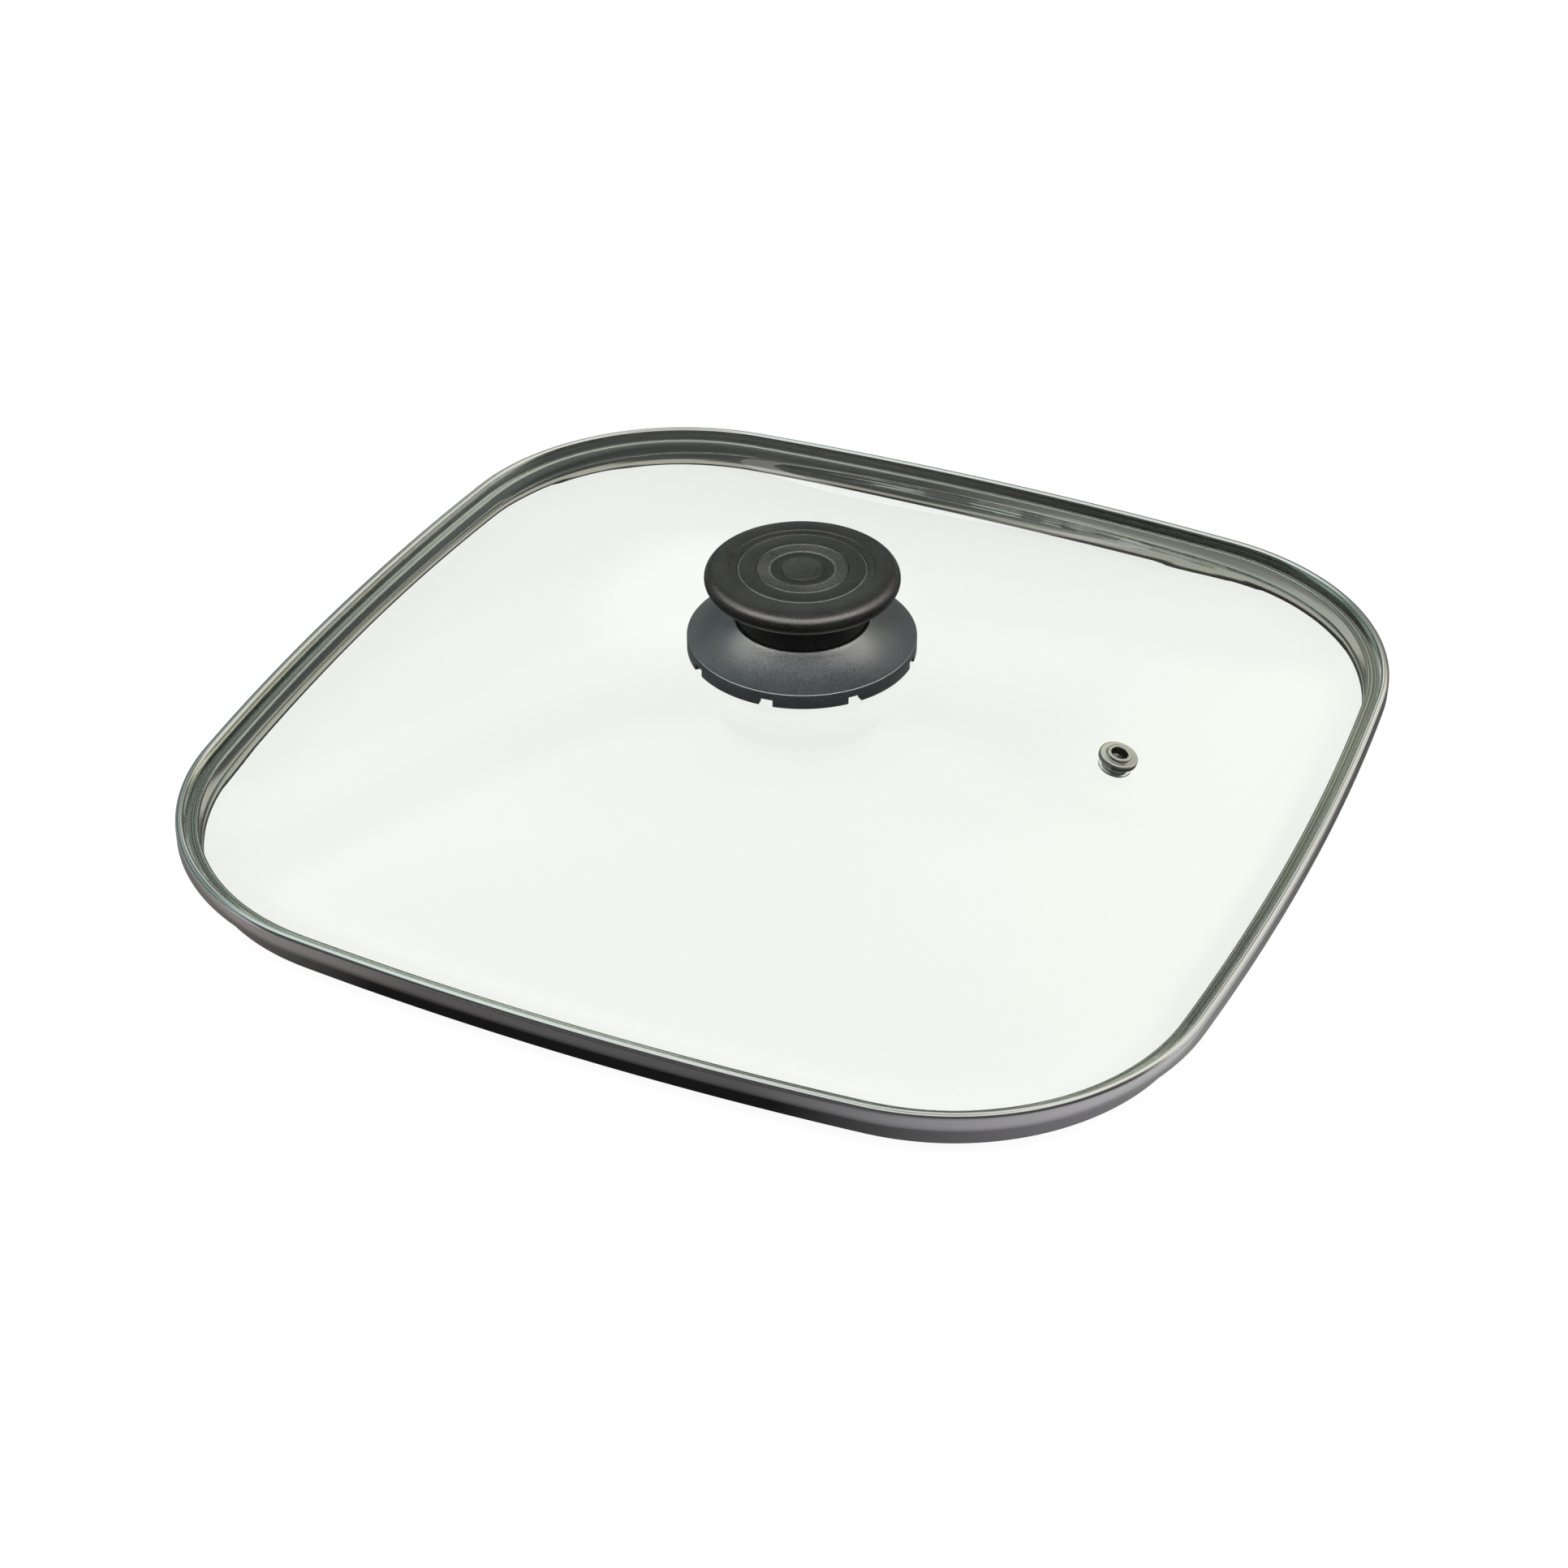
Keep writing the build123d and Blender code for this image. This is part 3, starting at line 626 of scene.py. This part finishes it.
collarRadius = socketRadius + knob["collarRim"]
footInner = baseRadius - knob["baseThickness"]
footRoof = wallTop - knob["baseThickness"]
baseUnder = socketFloor - knob["baseThickness"]
bossFoot = glassTop + knob["gasket"]
roofLevel = gripTop - knob["roof"]
gripIn = knob["gripRadius"] - gripEdge


def bowed(start, end, sag, steps=14):  # a shallow arc that bows by sag to the left of its chord
    start, end = Vector(start), Vector(end)
    side = Vector((start.y - end.y, end.x - start.x)).normalized()
    half = (end - start).length / 2
    radius = (half ** 2 + sag ** 2) / (2 * abs(sag))
    points = []
    for step in range(steps + 1):
        along = 2 * step / steps - 1
        lift = sqrt(radius ** 2 - (half * along) ** 2) - (radius - abs(sag))
        points.append(start.lerp(end, step / steps) + side * lift * (1 if sag > 0 else -1))
    return points


flare = (collarRadius + knob["flareStart"], collarTop - knob["flareStart"])
baseEdge = (baseRadius - 0.35, wallTop)
web = (collarRadius + knob["webOut"], baseUnder)
baseProfile = (
    [Vector((bossHole, socketFloor))]
    + roundedChain([(0, socketFloor, 0), (socketRadius, socketFloor, 0.3), (socketRadius, collarTop, 0.15),
        (collarRadius, collarTop, 0.15), (*flare, 0)], 3)[1:]
    + bowed(flare, baseEdge, -0.9)[1:]
    + roundedChain([(*baseEdge, 0), (baseRadius, wallTop, 0.34), (baseRadius, knob["foot"], 0.25),
        (footInner, knob["foot"], 0.2), (footInner, footRoof, 0)], 4)[1:]
    + bowed((footInner, footRoof), web, 0.45)[1:]
    + roundedChain([(*web, 0), (bossRadius, baseUnder, 0.4), (bossRadius, bossFoot, 0.3),
        (bossHole, bossFoot, 0.2), (bossHole, socketFloor, 0)], 3)[1:])
knobFoot = {"notches": 8, "notchWidth": 4.0, "notchHeight": 2.2, "notchTurn": 6.0, "ribs": 4, "ribWidth": 1.6}
ribHeel, ribToe = footInner + 0.7, bossRadius - 0.7
baseRib = bladeObject("baseRib", [(ribToe, bossFoot), (ribHeel, bossFoot), (ribHeel, footRoof),
        (web[0], baseUnder + 0.7), (ribToe, baseUnder + 0.7)], knobFoot["ribWidth"])
baseMesh = turnMesh("knobBase", baseProfile, basePlasticWithSheen, 192)
baseMesh = growMesh("knobBase", baseMesh, trimTree, {
    "Slots": knobFoot["notches"], "Slot Size": Vector((6.0, knobFoot["notchWidth"], 2 * knobFoot["notchHeight"])) * mm,
    "Slot Place": Vector((baseRadius - 1.15, 0, knob["foot"])) * mm,
    "First Slot": radians(knobFoot["notchTurn"]),
    "Blade": baseRib, "Blades": knobFoot["ribs"],
    "First Blade": radians(knobFoot["notchTurn"] + 180 / knobFoot["notches"]), "Material": basePlasticWithSheen})
knobBase = keepPiece("knobBase", baseMesh, "lid", "knob_plastic", "knob_base")

gripProfile = (
    [Vector((0, recessFloor - 1.0)), Vector((knob["insertRadius"], recessFloor - 1.0))]
    + roundedChain([(knob["insertRadius"], socketFloor, 0), (knob["coreRadius"], socketFloor, 0.3),
        (knob["coreRadius"], roofLevel, 0.5), (knob["hollowRadius"], roofLevel, 0.5),
        (knob["hollowRadius"], socketFloor, 0.25), (knob["neckRadius"], socketFloor, 0.3),
        (knob["neckRadius"], underside, 2.2), (gripIn, underside, 0)], 5)
    + [Vector((gripIn + gripEdge * cos(a), gripTop - gripEdge + gripEdge * sin(a)))
       for a in [pi * (step / 20 - 0.5) for step in range(1, 21)]]
    + roundedChain([(gripIn, gripTop, 0), (knob["stepRadius"], gripTop, 0.2), (knob["stepRadius"], recessRim, 0.1),
        (knob["inlayRadius"], recessRim, 0.15), (knob["inlayRadius"], recessFloor, 0.1),
        (0, recessFloor, 0)], 3)[1:])
gripRib = bladeObject("gripRib", [(7.2, socketFloor + 0.5), (15.5, socketFloor + 0.5), (15.5, roofLevel + 0.5),
        (7.2, roofLevel + 0.5)], knobFoot["ribWidth"])
gripMesh = turnMesh("knobGrip", gripProfile, gripPlastic, 192)
gripMesh = growMesh("knobGrip", gripMesh, trimTree, {  # ribs only: its one slot lies far off
    "Slots": 1, "Slot Size": Vector((0.2, 0.2, 0.2)) * mm, "Slot Place": Vector((0, 0, 1)), "First Slot": 0.0,
    "Blade": gripRib, "Blades": 4, "First Blade": 0.0, "Material": gripPlastic})
knobGrip = keepPiece("knobGrip", gripMesh, "knob", "knob_plastic", "knob_grip")

inlay = {"groove": 12.7, "grooveWidth": 0.4, "sinkOuter": 9.0, "sinkInner": 5.85, "depth": 0.3}
inlayEdge = knob["inlayRadius"] - knob["inlayGap"]
inlaySink = recessRim - inlay["depth"]
inlayCorners = [
    (0, recessFloor, 0), (inlayEdge, recessFloor, 0.1), (inlayEdge, recessRim, 0.25),
    (inlay["groove"] + inlay["grooveWidth"] / 2, recessRim, 0.08), (inlay["groove"], inlaySink, 0.08),
    (inlay["groove"] - inlay["grooveWidth"] / 2, recessRim, 0.08),
    (inlay["sinkOuter"], recessRim, 0.12), (inlay["sinkOuter"] - 0.12, inlaySink, 0.08),
    (inlay["sinkInner"] + 0.12, inlaySink, 0.08), (inlay["sinkInner"], recessRim, 0.12), (0, recessRim, 0)]
knobInlay = turnPiece("knobInlay", roundedChain(inlayCorners, 4), inlayPlastic, "knob_core", "inlay_plastic",
    "knob_inlay", segments=192)
print("knob turned")


screw = {"seat": 32.2, "headRadius": 4.75, "headHeight": 3.2, "crown": 1.1, "core": 2.05, "thread": 2.5, "pitch": 0.8,
    "tip": 57.06, "recessWidth": 1.1, "recessSpan": 5.0, "recessDepth": 2.0}
headFoot = screw["seat"] - screw["headHeight"]
crownArc = (screw["headRadius"] ** 2 + screw["crown"] ** 2) / (2 * screw["crown"])
crownFace = [Vector((crownArc * sin(t), headFoot + crownArc * (1 - cos(t))))
    for t in [atan2(screw["headRadius"], crownArc - screw["crown"]) * step / 10 for step in range(11)]]
screwProfile = crownFace + roundedChain([
    (screw["headRadius"], headFoot + screw["crown"], 0), (screw["headRadius"], screw["seat"], 0.2),
    (screw["thread"], screw["seat"], 0.15), (screw["thread"], screw["seat"] + 2.2, 0.1),
    (screw["core"], screw["seat"] + 2.7, 0.1), (screw["core"], screw["tip"], 0.3), (0, screw["tip"], 0)], 4)[1:]

tree, given = newTree("cutThread", {
    "Radius": ("Float", 0.0022), "Crest": ("Float", 0.0003), "Turns": ("Float", 28.0), "Pitch": ("Float", 0.0008),
    "Foot": ("Float", 0.035), "Recess Width": ("Float", 0.0011), "Recess Span": ("Float", 0.005),
    "Recess Depth": ("Float", 0.002), "Head Foot": ("Float", 0.029), "Material": ("Material", None)})
coil = addNode(tree, "CurveSpiral", {
    "Resolution": 40, "Rotations": given["Turns"], "Start Radius": given["Radius"], "End Radius": given["Radius"],
    "Height": times(tree, given["Turns"], given["Pitch"])})
upNormals = addNode(tree, "SetCurveNormal", {"Curve": coil}, mode="Z_UP")
ridge = addNode(tree, "CurvePrimitiveCircle", {"Resolution": 4, "Radius": given["Crest"]}).outputs["Curve"]
thread = addNode(tree, "CurveToMesh", {"Curve": upNormals, "Profile Curve": ridge, "Fill Caps": True})
threadAt = placedAt(tree, thread, combined(tree, z=given["Foot"]))
recessDouble = times(tree, given["Recess Depth"], 2.0)
recessAt = combined(tree, z=given["Head Foot"])
recessed = given["Geometry"]
for wide, deep in (("Recess Span", "Recess Width"), ("Recess Width", "Recess Span")):
    bar = addNode(tree, "MeshCube", {"Size": combined(tree, given[wide], given[deep], recessDouble)})
    recessed = cutBy(tree, recessed, placedAt(tree, bar.outputs["Mesh"], recessAt))
threadTree = endTree(tree, joined(tree, recessed, threadAt), given["Material"])
screwMesh = turnMesh("knobScrew", screwProfile, screwSteel, 64)
threadFoot = screw["seat"] + 3.2
threadTurns = (screw["tip"] - 1.0 - threadFoot) / screw["pitch"]
screwMesh = growMesh("knobScrew", screwMesh, threadTree, {
    "Radius": (screw["thread"] - 0.42) * mm, "Crest": 0.4 * mm, "Turns": threadTurns, "Pitch": screw["pitch"] * mm,
    "Foot": threadFoot * mm, "Recess Width": screw["recessWidth"] * mm, "Recess Span": screw["recessSpan"] * mm,
    "Recess Depth": screw["recessDepth"] * mm, "Head Foot": headFoot * mm, "Material": screwSteel})
keepPiece("knobScrew", screwMesh, "lid", "screw_steel", "knob_screw")
washers = {
    "flatWasher": {"inner": 2.7, "outer": 8.0, "low": 33.5, "high": 34.5, "soft": 0.15},
    "underGasket": {"inner": 2.8, "outer": 9.5, "low": 34.5, "high": 36.0, "soft": 0.3},
    "upperGasket": {"inner": 2.8, "outer": 9.5, "low": glassTop, "high": bossFoot, "soft": 0.25}}
for name, material, slotName, node in (
        ("flatWasher", screwSteel, "screw_steel", "flat_washer"), ("underGasket", silicone, "silicone", "under_gasket"),
        ("upperGasket", silicone, "silicone", "upper_gasket")):
    turnPiece(name, hoopProfile(**washers[name]), material, "lid", slotName, node, segments=96)
print("screw and washers made")


eyelet = {"bore": 2.3, "barrel": 2.9, "radius": 5.4, "skirt": 1.3, "ring": 3.5, "height": 2.4, "gap": 0.1,
    "grommet": 0.5, "grommetRadius": 4.8, "washer": 0.6, "tail": 3.6, "tailRoll": 0.7}
tailFace = -dome["thickness"] - eyelet["gap"] - eyelet["washer"]
tailFoot = tailFace - eyelet["tailRoll"]
flangeUnder = eyelet["gap"] + eyelet["grommet"]
eyeletProfile = roundedChain([
    (eyelet["bore"], 0, 0), (eyelet["bore"], tailFoot, 0.4), (eyelet["tail"], tailFoot, 0.3),
    (eyelet["tail"], tailFace, 0.1), (eyelet["barrel"], tailFace, 0.1), (eyelet["barrel"], flangeUnder, 0.1),
    (eyelet["grommetRadius"], flangeUnder, 0.1), (eyelet["grommetRadius"], eyelet["gap"], 0.1),
    (eyelet["radius"], eyelet["gap"], 0.15),
    (eyelet["radius"], eyelet["skirt"] + 0.45, 0.45), (eyelet["ring"], eyelet["skirt"] + 0.15, 0.3),
    (eyelet["ring"], eyelet["height"], 0.4), (eyelet["bore"], eyelet["height"], 0.35), (eyelet["bore"], 0, 0)], 4)
tiltedVent = Matrix.Rotation(ventTilt, 3, "Y").to_euler()
ventAround = sum((eyeletProfile[i] - eyeletProfile[i - 1]).length for i in range(1, len(eyeletProfile))) * mm
# The inside of the bore, the last stretch of the eyelet's profile, is painted dark olive as shade.
ventSteel = rolledSteel("spunStainless", (0.36, 0.36, 0.34), (0.54, 0.54, 0.51), 0.16, 0.3, (60, 12000, 1),
    paintedShadeZone=(ventAround - (eyelet["height"] - 0.5) * mm, 1.0))
turnPiece("ventEyelet", eyeletProfile, ventSteel, "lid", "vent_steel", "vent_eyelet", segments=96,
    Tilt=tiltedVent, Place=ventSpot)
print("vent turned")


for nodeName, material in {"knob_insert": brass, "spring_washer": screwSteel, "screw_bush": silicone,
    "vent_gasket": silicone, "vent_washer": silicone}.items():
    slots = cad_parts[nodeName].data.materials
    slots.clear()
    slots.append(material)


stage = {"floorSize": 3.0, "floorWhite": 0.93, "floorColour": 0.1, "clothDark": 0.12, "ambient": 0.6,
    "floorDrop": -0.0001}
shot = {"lens": 78.37, "distance": 0.96247, "azimuth": 24.19, "elevation": 35.03, "roll": 0.215, "aside": 0.00489,
        "above": 0.01773, "sensor": 36, "clipStart": 0.01}


def raysOf(tree):  # the rays, and 1 for those of the camera, of mirrors and through glass
    rays = addNode(tree, "LightPath").outputs
    mirrors = calc(tree, "MAXIMUM", rays["Is Camera Ray"], rays["Is Glossy Ray"])
    return rays, calc(tree, "MAXIMUM", mirrors, rays["Is Transmission Ray"])


floorPaint, tree = newMaterial("paleFloor")
rays, seen = raysOf(tree)
mirrored = calc(tree, "GREATER_THAN", rays["Glossy Depth"], 0.5)  # what steel on the pane mirrors through it is dark
under = calc(tree, "MULTIPLY_ADD", mirrored, stage["clothDark"] - 1.0, 1.0)
level = calc(tree, "MULTIPLY_ADD", rays["Is Transmission Ray"], minus(tree, under, stage["floorWhite"]),
    stage["floorWhite"])
glow = addNode(tree, "Emission", {"Color": (1, 1, 1, 1), "Strength": times(tree, seen, level)})
matt = addNode(tree, "BsdfDiffuse", {"Color": (stage["floorColour"],) * 3 + (1,)})
endMaterial(tree, addNode(tree, "AddShader", {0: glow.outputs[0], 1: matt.outputs[0]}))
half = stage["floorSize"] / 2
floorMesh = bpy.data.meshes.new("floor")
floorMesh.from_pydata([(-half, -half, 0), (half, -half, 0), (half, half, 0), (-half, half, 0)], [], [(0, 1, 2, 3)])
floorMesh.materials.append(floorPaint)
floor = addObject("floor", floorMesh)
floor.location = (0, 0, stage["floorDrop"])


def glowCard(name, mesh, level, colour, cover=None, only=None):
    # a card seen in reflections, also through the pane; with only, it lights those pieces alone
    material, tree = newMaterial(name + "Paint")
    rays = addNode(tree, "LightPath").outputs
    straight = times(tree, rays["Is Transmission Ray"], calc(tree, "LESS_THAN", rays["Glossy Depth"], 0.5))
    shown = minus(tree, 1.0, straight)
    covered = times(tree, shown, cover(tree)) if cover else shown
    strength = times(tree, level(tree), covered) if only else level(tree)
    light = addNode(tree, "Emission", {"Color": colour(tree), "Strength": strength})
    clear = addNode(tree, "BsdfTransparent")
    if only:
        endMaterial(tree, addNode(tree, "AddShader", {0: clear.outputs[0], 1: light.outputs[0]}))
    else:
        endMaterial(tree, addNode(tree, "MixShader", {0: covered, 1: clear.outputs[0], 2: light.outputs[0]}))
    card = addObject(name, mesh)
    mesh.materials.clear()
    mesh.materials.append(material)
    card.visible_camera = card.visible_diffuse = card.visible_shadow = False
    if only:
        card.light_linking.receiver_collection = bpy.data.collections.new(name + "Pieces")
        for piece in only:
            card.light_linking.receiver_collection.objects.link(piece)
    return card


# Dark cloth under and round the lid, as its steel mirrors it. Shares run once round the rim from the right side.
cloth = {
    "loopLength": 1.0496, "hemScale": 0.1, "edge": 0.0002, "hemFoldLevel": 0.02,
    "inside": (0.0640, 0.0643), "skirtZone": (0.077, 0.081), "wallZone": (0.088, 0.1), "warmFrom": 0.0597,
    "hemTop": ((0.12, 0.6), (0.17, 0.6), (0.21, 0.566), (0.3, 0.566), (0.35, 0.6), (0.6, 0.6), (0.7, 0.593)),
    "hemFoot": ((0.12, 0.62), (0.2, 0.613), (0.32, 0.613), (0.42, 0.623), (0.6, 0.623), (0.7, 0.62)),
    "hemLevel": ((0.12, 0.75), (0.2, 0.75), (0.32, 0.75), (0.42, 0.85), (0.6, 0.85), (0.7, 0.7)),
    "insideSkirt": ((0.17, 0.1), (0.22, 0.5), (0.3, 0.5), (0.35, 0.1)),
    "besideSkirt": ((0.0, 0.35), (0.1, 0.13), (0.6, 0.13), (0.71, 0.22), (0.77, 0.015), (0.88, 0.015), (0.95, 0.25),
        (1.0, 0.35)),
    "besideWall": ((0.0, 0.85), (0.1, 0.5), (0.15, 0.13), (0.62, 0.2), (0.72, 0.42), (0.78, 0.16), (0.87, 0.15),
        (0.95, 0.6), (1.0, 0.85)),
    "farther": ((0.0, 0.7), (0.1, 0.4), (0.16, 0.13), (0.5, 0.13), (0.66, 0.45), (0.72, 0.4), (0.78, 0.07),
        (0.88, 0.07), (0.95, 0.5), (1.0, 0.7))}


def clothLevel(tree):
    strip = stripAxes(tree)
    around, across, edge = divide(tree, strip["X"], cloth["loopLength"]), strip["Y"], cloth["edge"]
    skirt, wall, farther, hemTop, hemFoot, hemLevel, upper = (
        ramp(tree, around, *cloth[zone]) for zone in (
            "besideSkirt", "besideWall", "farther", "hemTop", "hemFoot", "hemLevel", "insideSkirt"))
    outer = between(tree, across, *cloth["skirtZone"], skirt, between(tree, across, *cloth["wallZone"], wall, farther))
    stripes = ramp(tree, noise(tree, mapped(tree, stripSpot(tree), (3, 1500, 1)), 1.0, 3.0), (0.36, 0.3), (0.64, 1.0))
    belowFoot = minus(tree, across, times(tree, hemFoot, cloth["hemScale"]))
    belowTop = minus(tree, across, times(tree, hemTop, cloth["hemScale"]))
    hem = between(tree, belowFoot, -edge, edge, hemLevel, cloth["hemFoldLevel"])
    inner = between(tree, belowTop, -edge, edge, times(tree, upper, stripes), hem)
    return between(tree, across, *cloth["inside"], inner, outer)


def clothColour(tree):
    strip = stripAxes(tree)
    around = divide(tree, strip["X"], cloth["loopLength"])
    warm = inZone(tree, strip["Y"], cloth["warmFrom"], cloth["inside"][0], cloth["edge"])
    plain = ramp(tree, around, (0.0, (1.0, 1.0, 1.0)), (0.3, (0.93, 1.0, 0.88)), (0.6, (0.88, 1.0, 0.97)),
        (0.72, (1.0, 0.93, 0.92)), (0.85, (0.98, 0.97, 1.0)), (0.95, (0.95, 0.94, 1.0)), (1.0, (1.0, 1.0, 1.0)))
    return blend(tree, warm, plain, (1.0, 0.98, 0.86, 1))


clothLine = lineMesh("clothLine", [(-70, 0.05), (-6.5, 0.05), (8, 0.05), (12, 0.05), (400, 0.05)])
clothMesh = growMesh("cloth", clothLine, sweepTree, roundRim)
glowCard("cloth", clothMesh, clothLevel, clothColour)


def seenFrom(side, up, distance):  # degrees beside the camera's side and above the table
    turn = radians(shot["azimuth"] + side)
    return Vector((sin(turn) * cos(radians(up)), -cos(turn) * cos(radians(up)), sin(radians(up)))) * distance


def domePatch(name, radius, side, halfWidth, low, high, steps=24):  # part of a sphere round the object, in degrees
    mesh = bpy.data.meshes.new(name)
    points, faces = [], []
    for i in range(steps + 1):
        for j in range(steps + 1):
            points.append(seenFrom(side + halfWidth * (2 * i / steps - 1), low + (high - low) * j / steps, radius))
            if i and j:
                corner = i * (steps + 1) + j
                faces.append((corner, corner - 1, corner - steps - 2, corner - steps - 1))
    mesh.from_pydata(points, [], faces)
    return mesh


def heading(tree, side, up=0.0):  # cosine of the angle to a direction
    away = vectorCalc(tree, "NORMALIZE", objectSpot(tree))
    return vectorCalc(tree, "DOT_PRODUCT", away, tuple(seenFrom(side, up, 1.0)))


def rising(tree):
    return addNode(tree, "ShaderNodeSeparateXYZ", {0: vectorCalc(tree, "NORMALIZE", objectSpot(tree))}).outputs["Z"]


def near(tree, side, up, outer, inner, first=0.0, second=1.0):  # second within inner degrees of a direction
    return between(tree, heading(tree, side, up), cos(radians(outer)), cos(radians(inner)), first, second)


flag = {"besideLevel": 1.3, "behindExtra": 0.8, "levels": (
    (0.0, 0.2), (0.15, 0.2), (0.2, 0.15), (0.42, 0.3), (0.47, 0.65), (0.56, 0.65), (0.61, 0.2), (0.68, 0.2),
    (0.74, 1.3), (0.95, 1.3), (0.98, 0.5))}


def flagLevel(tree):
    plain = ramp(tree, rising(tree), *flag["levels"])
    beside = near(tree, 121, 34, 29, 18)
    behind = near(tree, 184, 23, 13, 5, 0.0, flag["behindExtra"])
    return add(tree, calc(tree, "MULTIPLY_ADD", beside, minus(tree, flag["besideLevel"], plain), plain), behind)


def flagColour(tree):  # teal to the left, olive to the right
    return ramp(tree, calc(tree, "MULTIPLY_ADD", heading(tree, 90), 0.5, 0.5),
        (0.2, (0.75, 1.0, 0.95)), (0.5, (0.92, 1.0, 0.92)), (0.8, (1.0, 0.98, 0.8)))


def flagCover(tree):  # open at the back right, where the rim mirrors plain white
    return times(tree, near(tree, 180, 30, 100, 78), near(tree, 106, 18, 28, 20, 1.0, 0.0))


glowCard("backFlag", domePatch("backFlag", 1.7, 180, 140, -1, 89.5, 32), flagLevel, flagColour, flagCover)


def frontLevel(tree):  # dark cloth hung in front, with a lit gap high over the camera
    return ramp(tree, rising(tree), (0.0, 0.1), (0.77, 0.1), (0.83, 1.3), (0.95, 1.3), (0.98, 0.5))


def frontCover(tree):
    return near(tree, 0, 30, 80, 64)


glowCard("frontFlag", domePatch("frontFlag", 1.6, 0, 88, -1, 89, 32), frontLevel,
    lambda tree: (1.0, 1.0, 1.0, 1), frontCover)

# A long soft light for the black knob alone, round the front and overhead.
arch = {"low": 26, "high": 78, "footEase": 16, "headEase": 10, "peak": 18.0, "overhead": 0.5, "overFrom": 50,
        "overTo": 64, "sides": 7.0}


def archLevel(tree):
    up = rising(tree)
    foot = between(tree, up, sin(radians(arch["low"])), sin(radians(arch["low"] + arch["footEase"])), 0.0, 1.0)
    head = between(tree, up, sin(radians(arch["high"] - arch["headEase"])), sin(radians(arch["high"])), 1.0, 0.0)
    ends = between(tree, heading(tree, 0), cos(radians(100)) * 0.5, cos(radians(60)) * 0.5, 0.0, 1.0)
    over = between(tree, up, sin(radians(arch["overFrom"])), sin(radians(arch["overTo"])), 0.0, arch["overhead"])
    for side in (-95, 95):
        over = add(tree, over, near(tree, side, 42, 32, 10, 0.0, arch["sides"]))
    return calc(tree, "MULTIPLY_ADD", times(tree, times(tree, foot, head), ends), arch["peak"], over)


glowCard("archLight", domePatch("archLight", 1.5, 0, 180, 5, 90, 48), archLevel, lambda tree: (1.0, 0.96, 0.9, 1),
    only=(knobBase, knobGrip, knobInlay))
for helper in (turnPath, rimPath, footPath, baseRib, gripRib):
    bpy.data.objects.remove(helper)

world = bpy.data.worlds.new("studio")
bpy.context.scene.world = world
world.use_nodes = True
tree = world.node_tree
tree.nodes.clear()
white = addNode(tree, "Background", {"Color": (1, 1, 1, 1), "Strength": 1.0})
ambient = addNode(tree, "Background", {"Color": (1, 1, 1, 1), "Strength": stage["ambient"]})
mixed = addNode(tree, "MixShader", {0: raysOf(tree)[1], 1: ambient.outputs[0], 2: white.outputs[0]})
addNode(tree, "OutputWorld", {"Surface": mixed})

lamps = {"lampFront": {"side": 0, "up": 66, "away": 1.3, "size": (0.9, 0.45), "power": 7},
    "lampLeft": {"side": -88, "up": 36, "away": 1.2, "size": (0.5, 0.5), "power": 6},
    "lampRight": {"side": 80, "up": 36, "away": 1.2, "size": (0.5, 0.5), "power": 6}}
for name, choice in lamps.items():
    lamp = bpy.data.lights.new(name, "AREA")
    lamp.shape = "RECTANGLE"
    lamp.size, lamp.size_y = choice["size"]
    lamp.energy = choice["power"]
    box = addObject(name, lamp)
    box.location = seenFrom(choice["side"], choice["up"], choice["away"])
    box.rotation_euler = (Vector((0, 0, 0.03)) - box.location).to_track_quat("-Z", "Y").to_euler()
    box.visible_glossy = box.visible_transmission = False

turn, rise, roll = radians(shot["azimuth"]), radians(shot["elevation"]), radians(shot["roll"])
across = Vector((cos(turn), sin(turn), 0))
upright = Vector((-sin(turn) * sin(rise), cos(turn) * sin(rise), cos(rise)))
backward = Vector((sin(turn) * cos(rise), -cos(turn) * cos(rise), sin(rise)))
frameRight = across * cos(roll) + upright * sin(roll)
frameUp = upright * cos(roll) - across * sin(roll)
spot = Vector((0, 0, lid["rimTop"] * mm)) - frameRight * shot["aside"] - frameUp * shot["above"]
spot += backward * shot["distance"]
camera = addObject("camera", bpy.data.cameras.new("camera"))
camera.data.lens = shot["lens"]
camera.data.sensor_width = shot["sensor"]
camera.matrix_world = Matrix.Translation(spot) @ Matrix((frameRight, frameUp, backward)).transposed().to_4x4()
camera.data.clip_start = shot["clipStart"]
bpy.context.scene.camera = camera
bpy.context.scene.view_settings.view_transform = "Standard"
print("stage set")
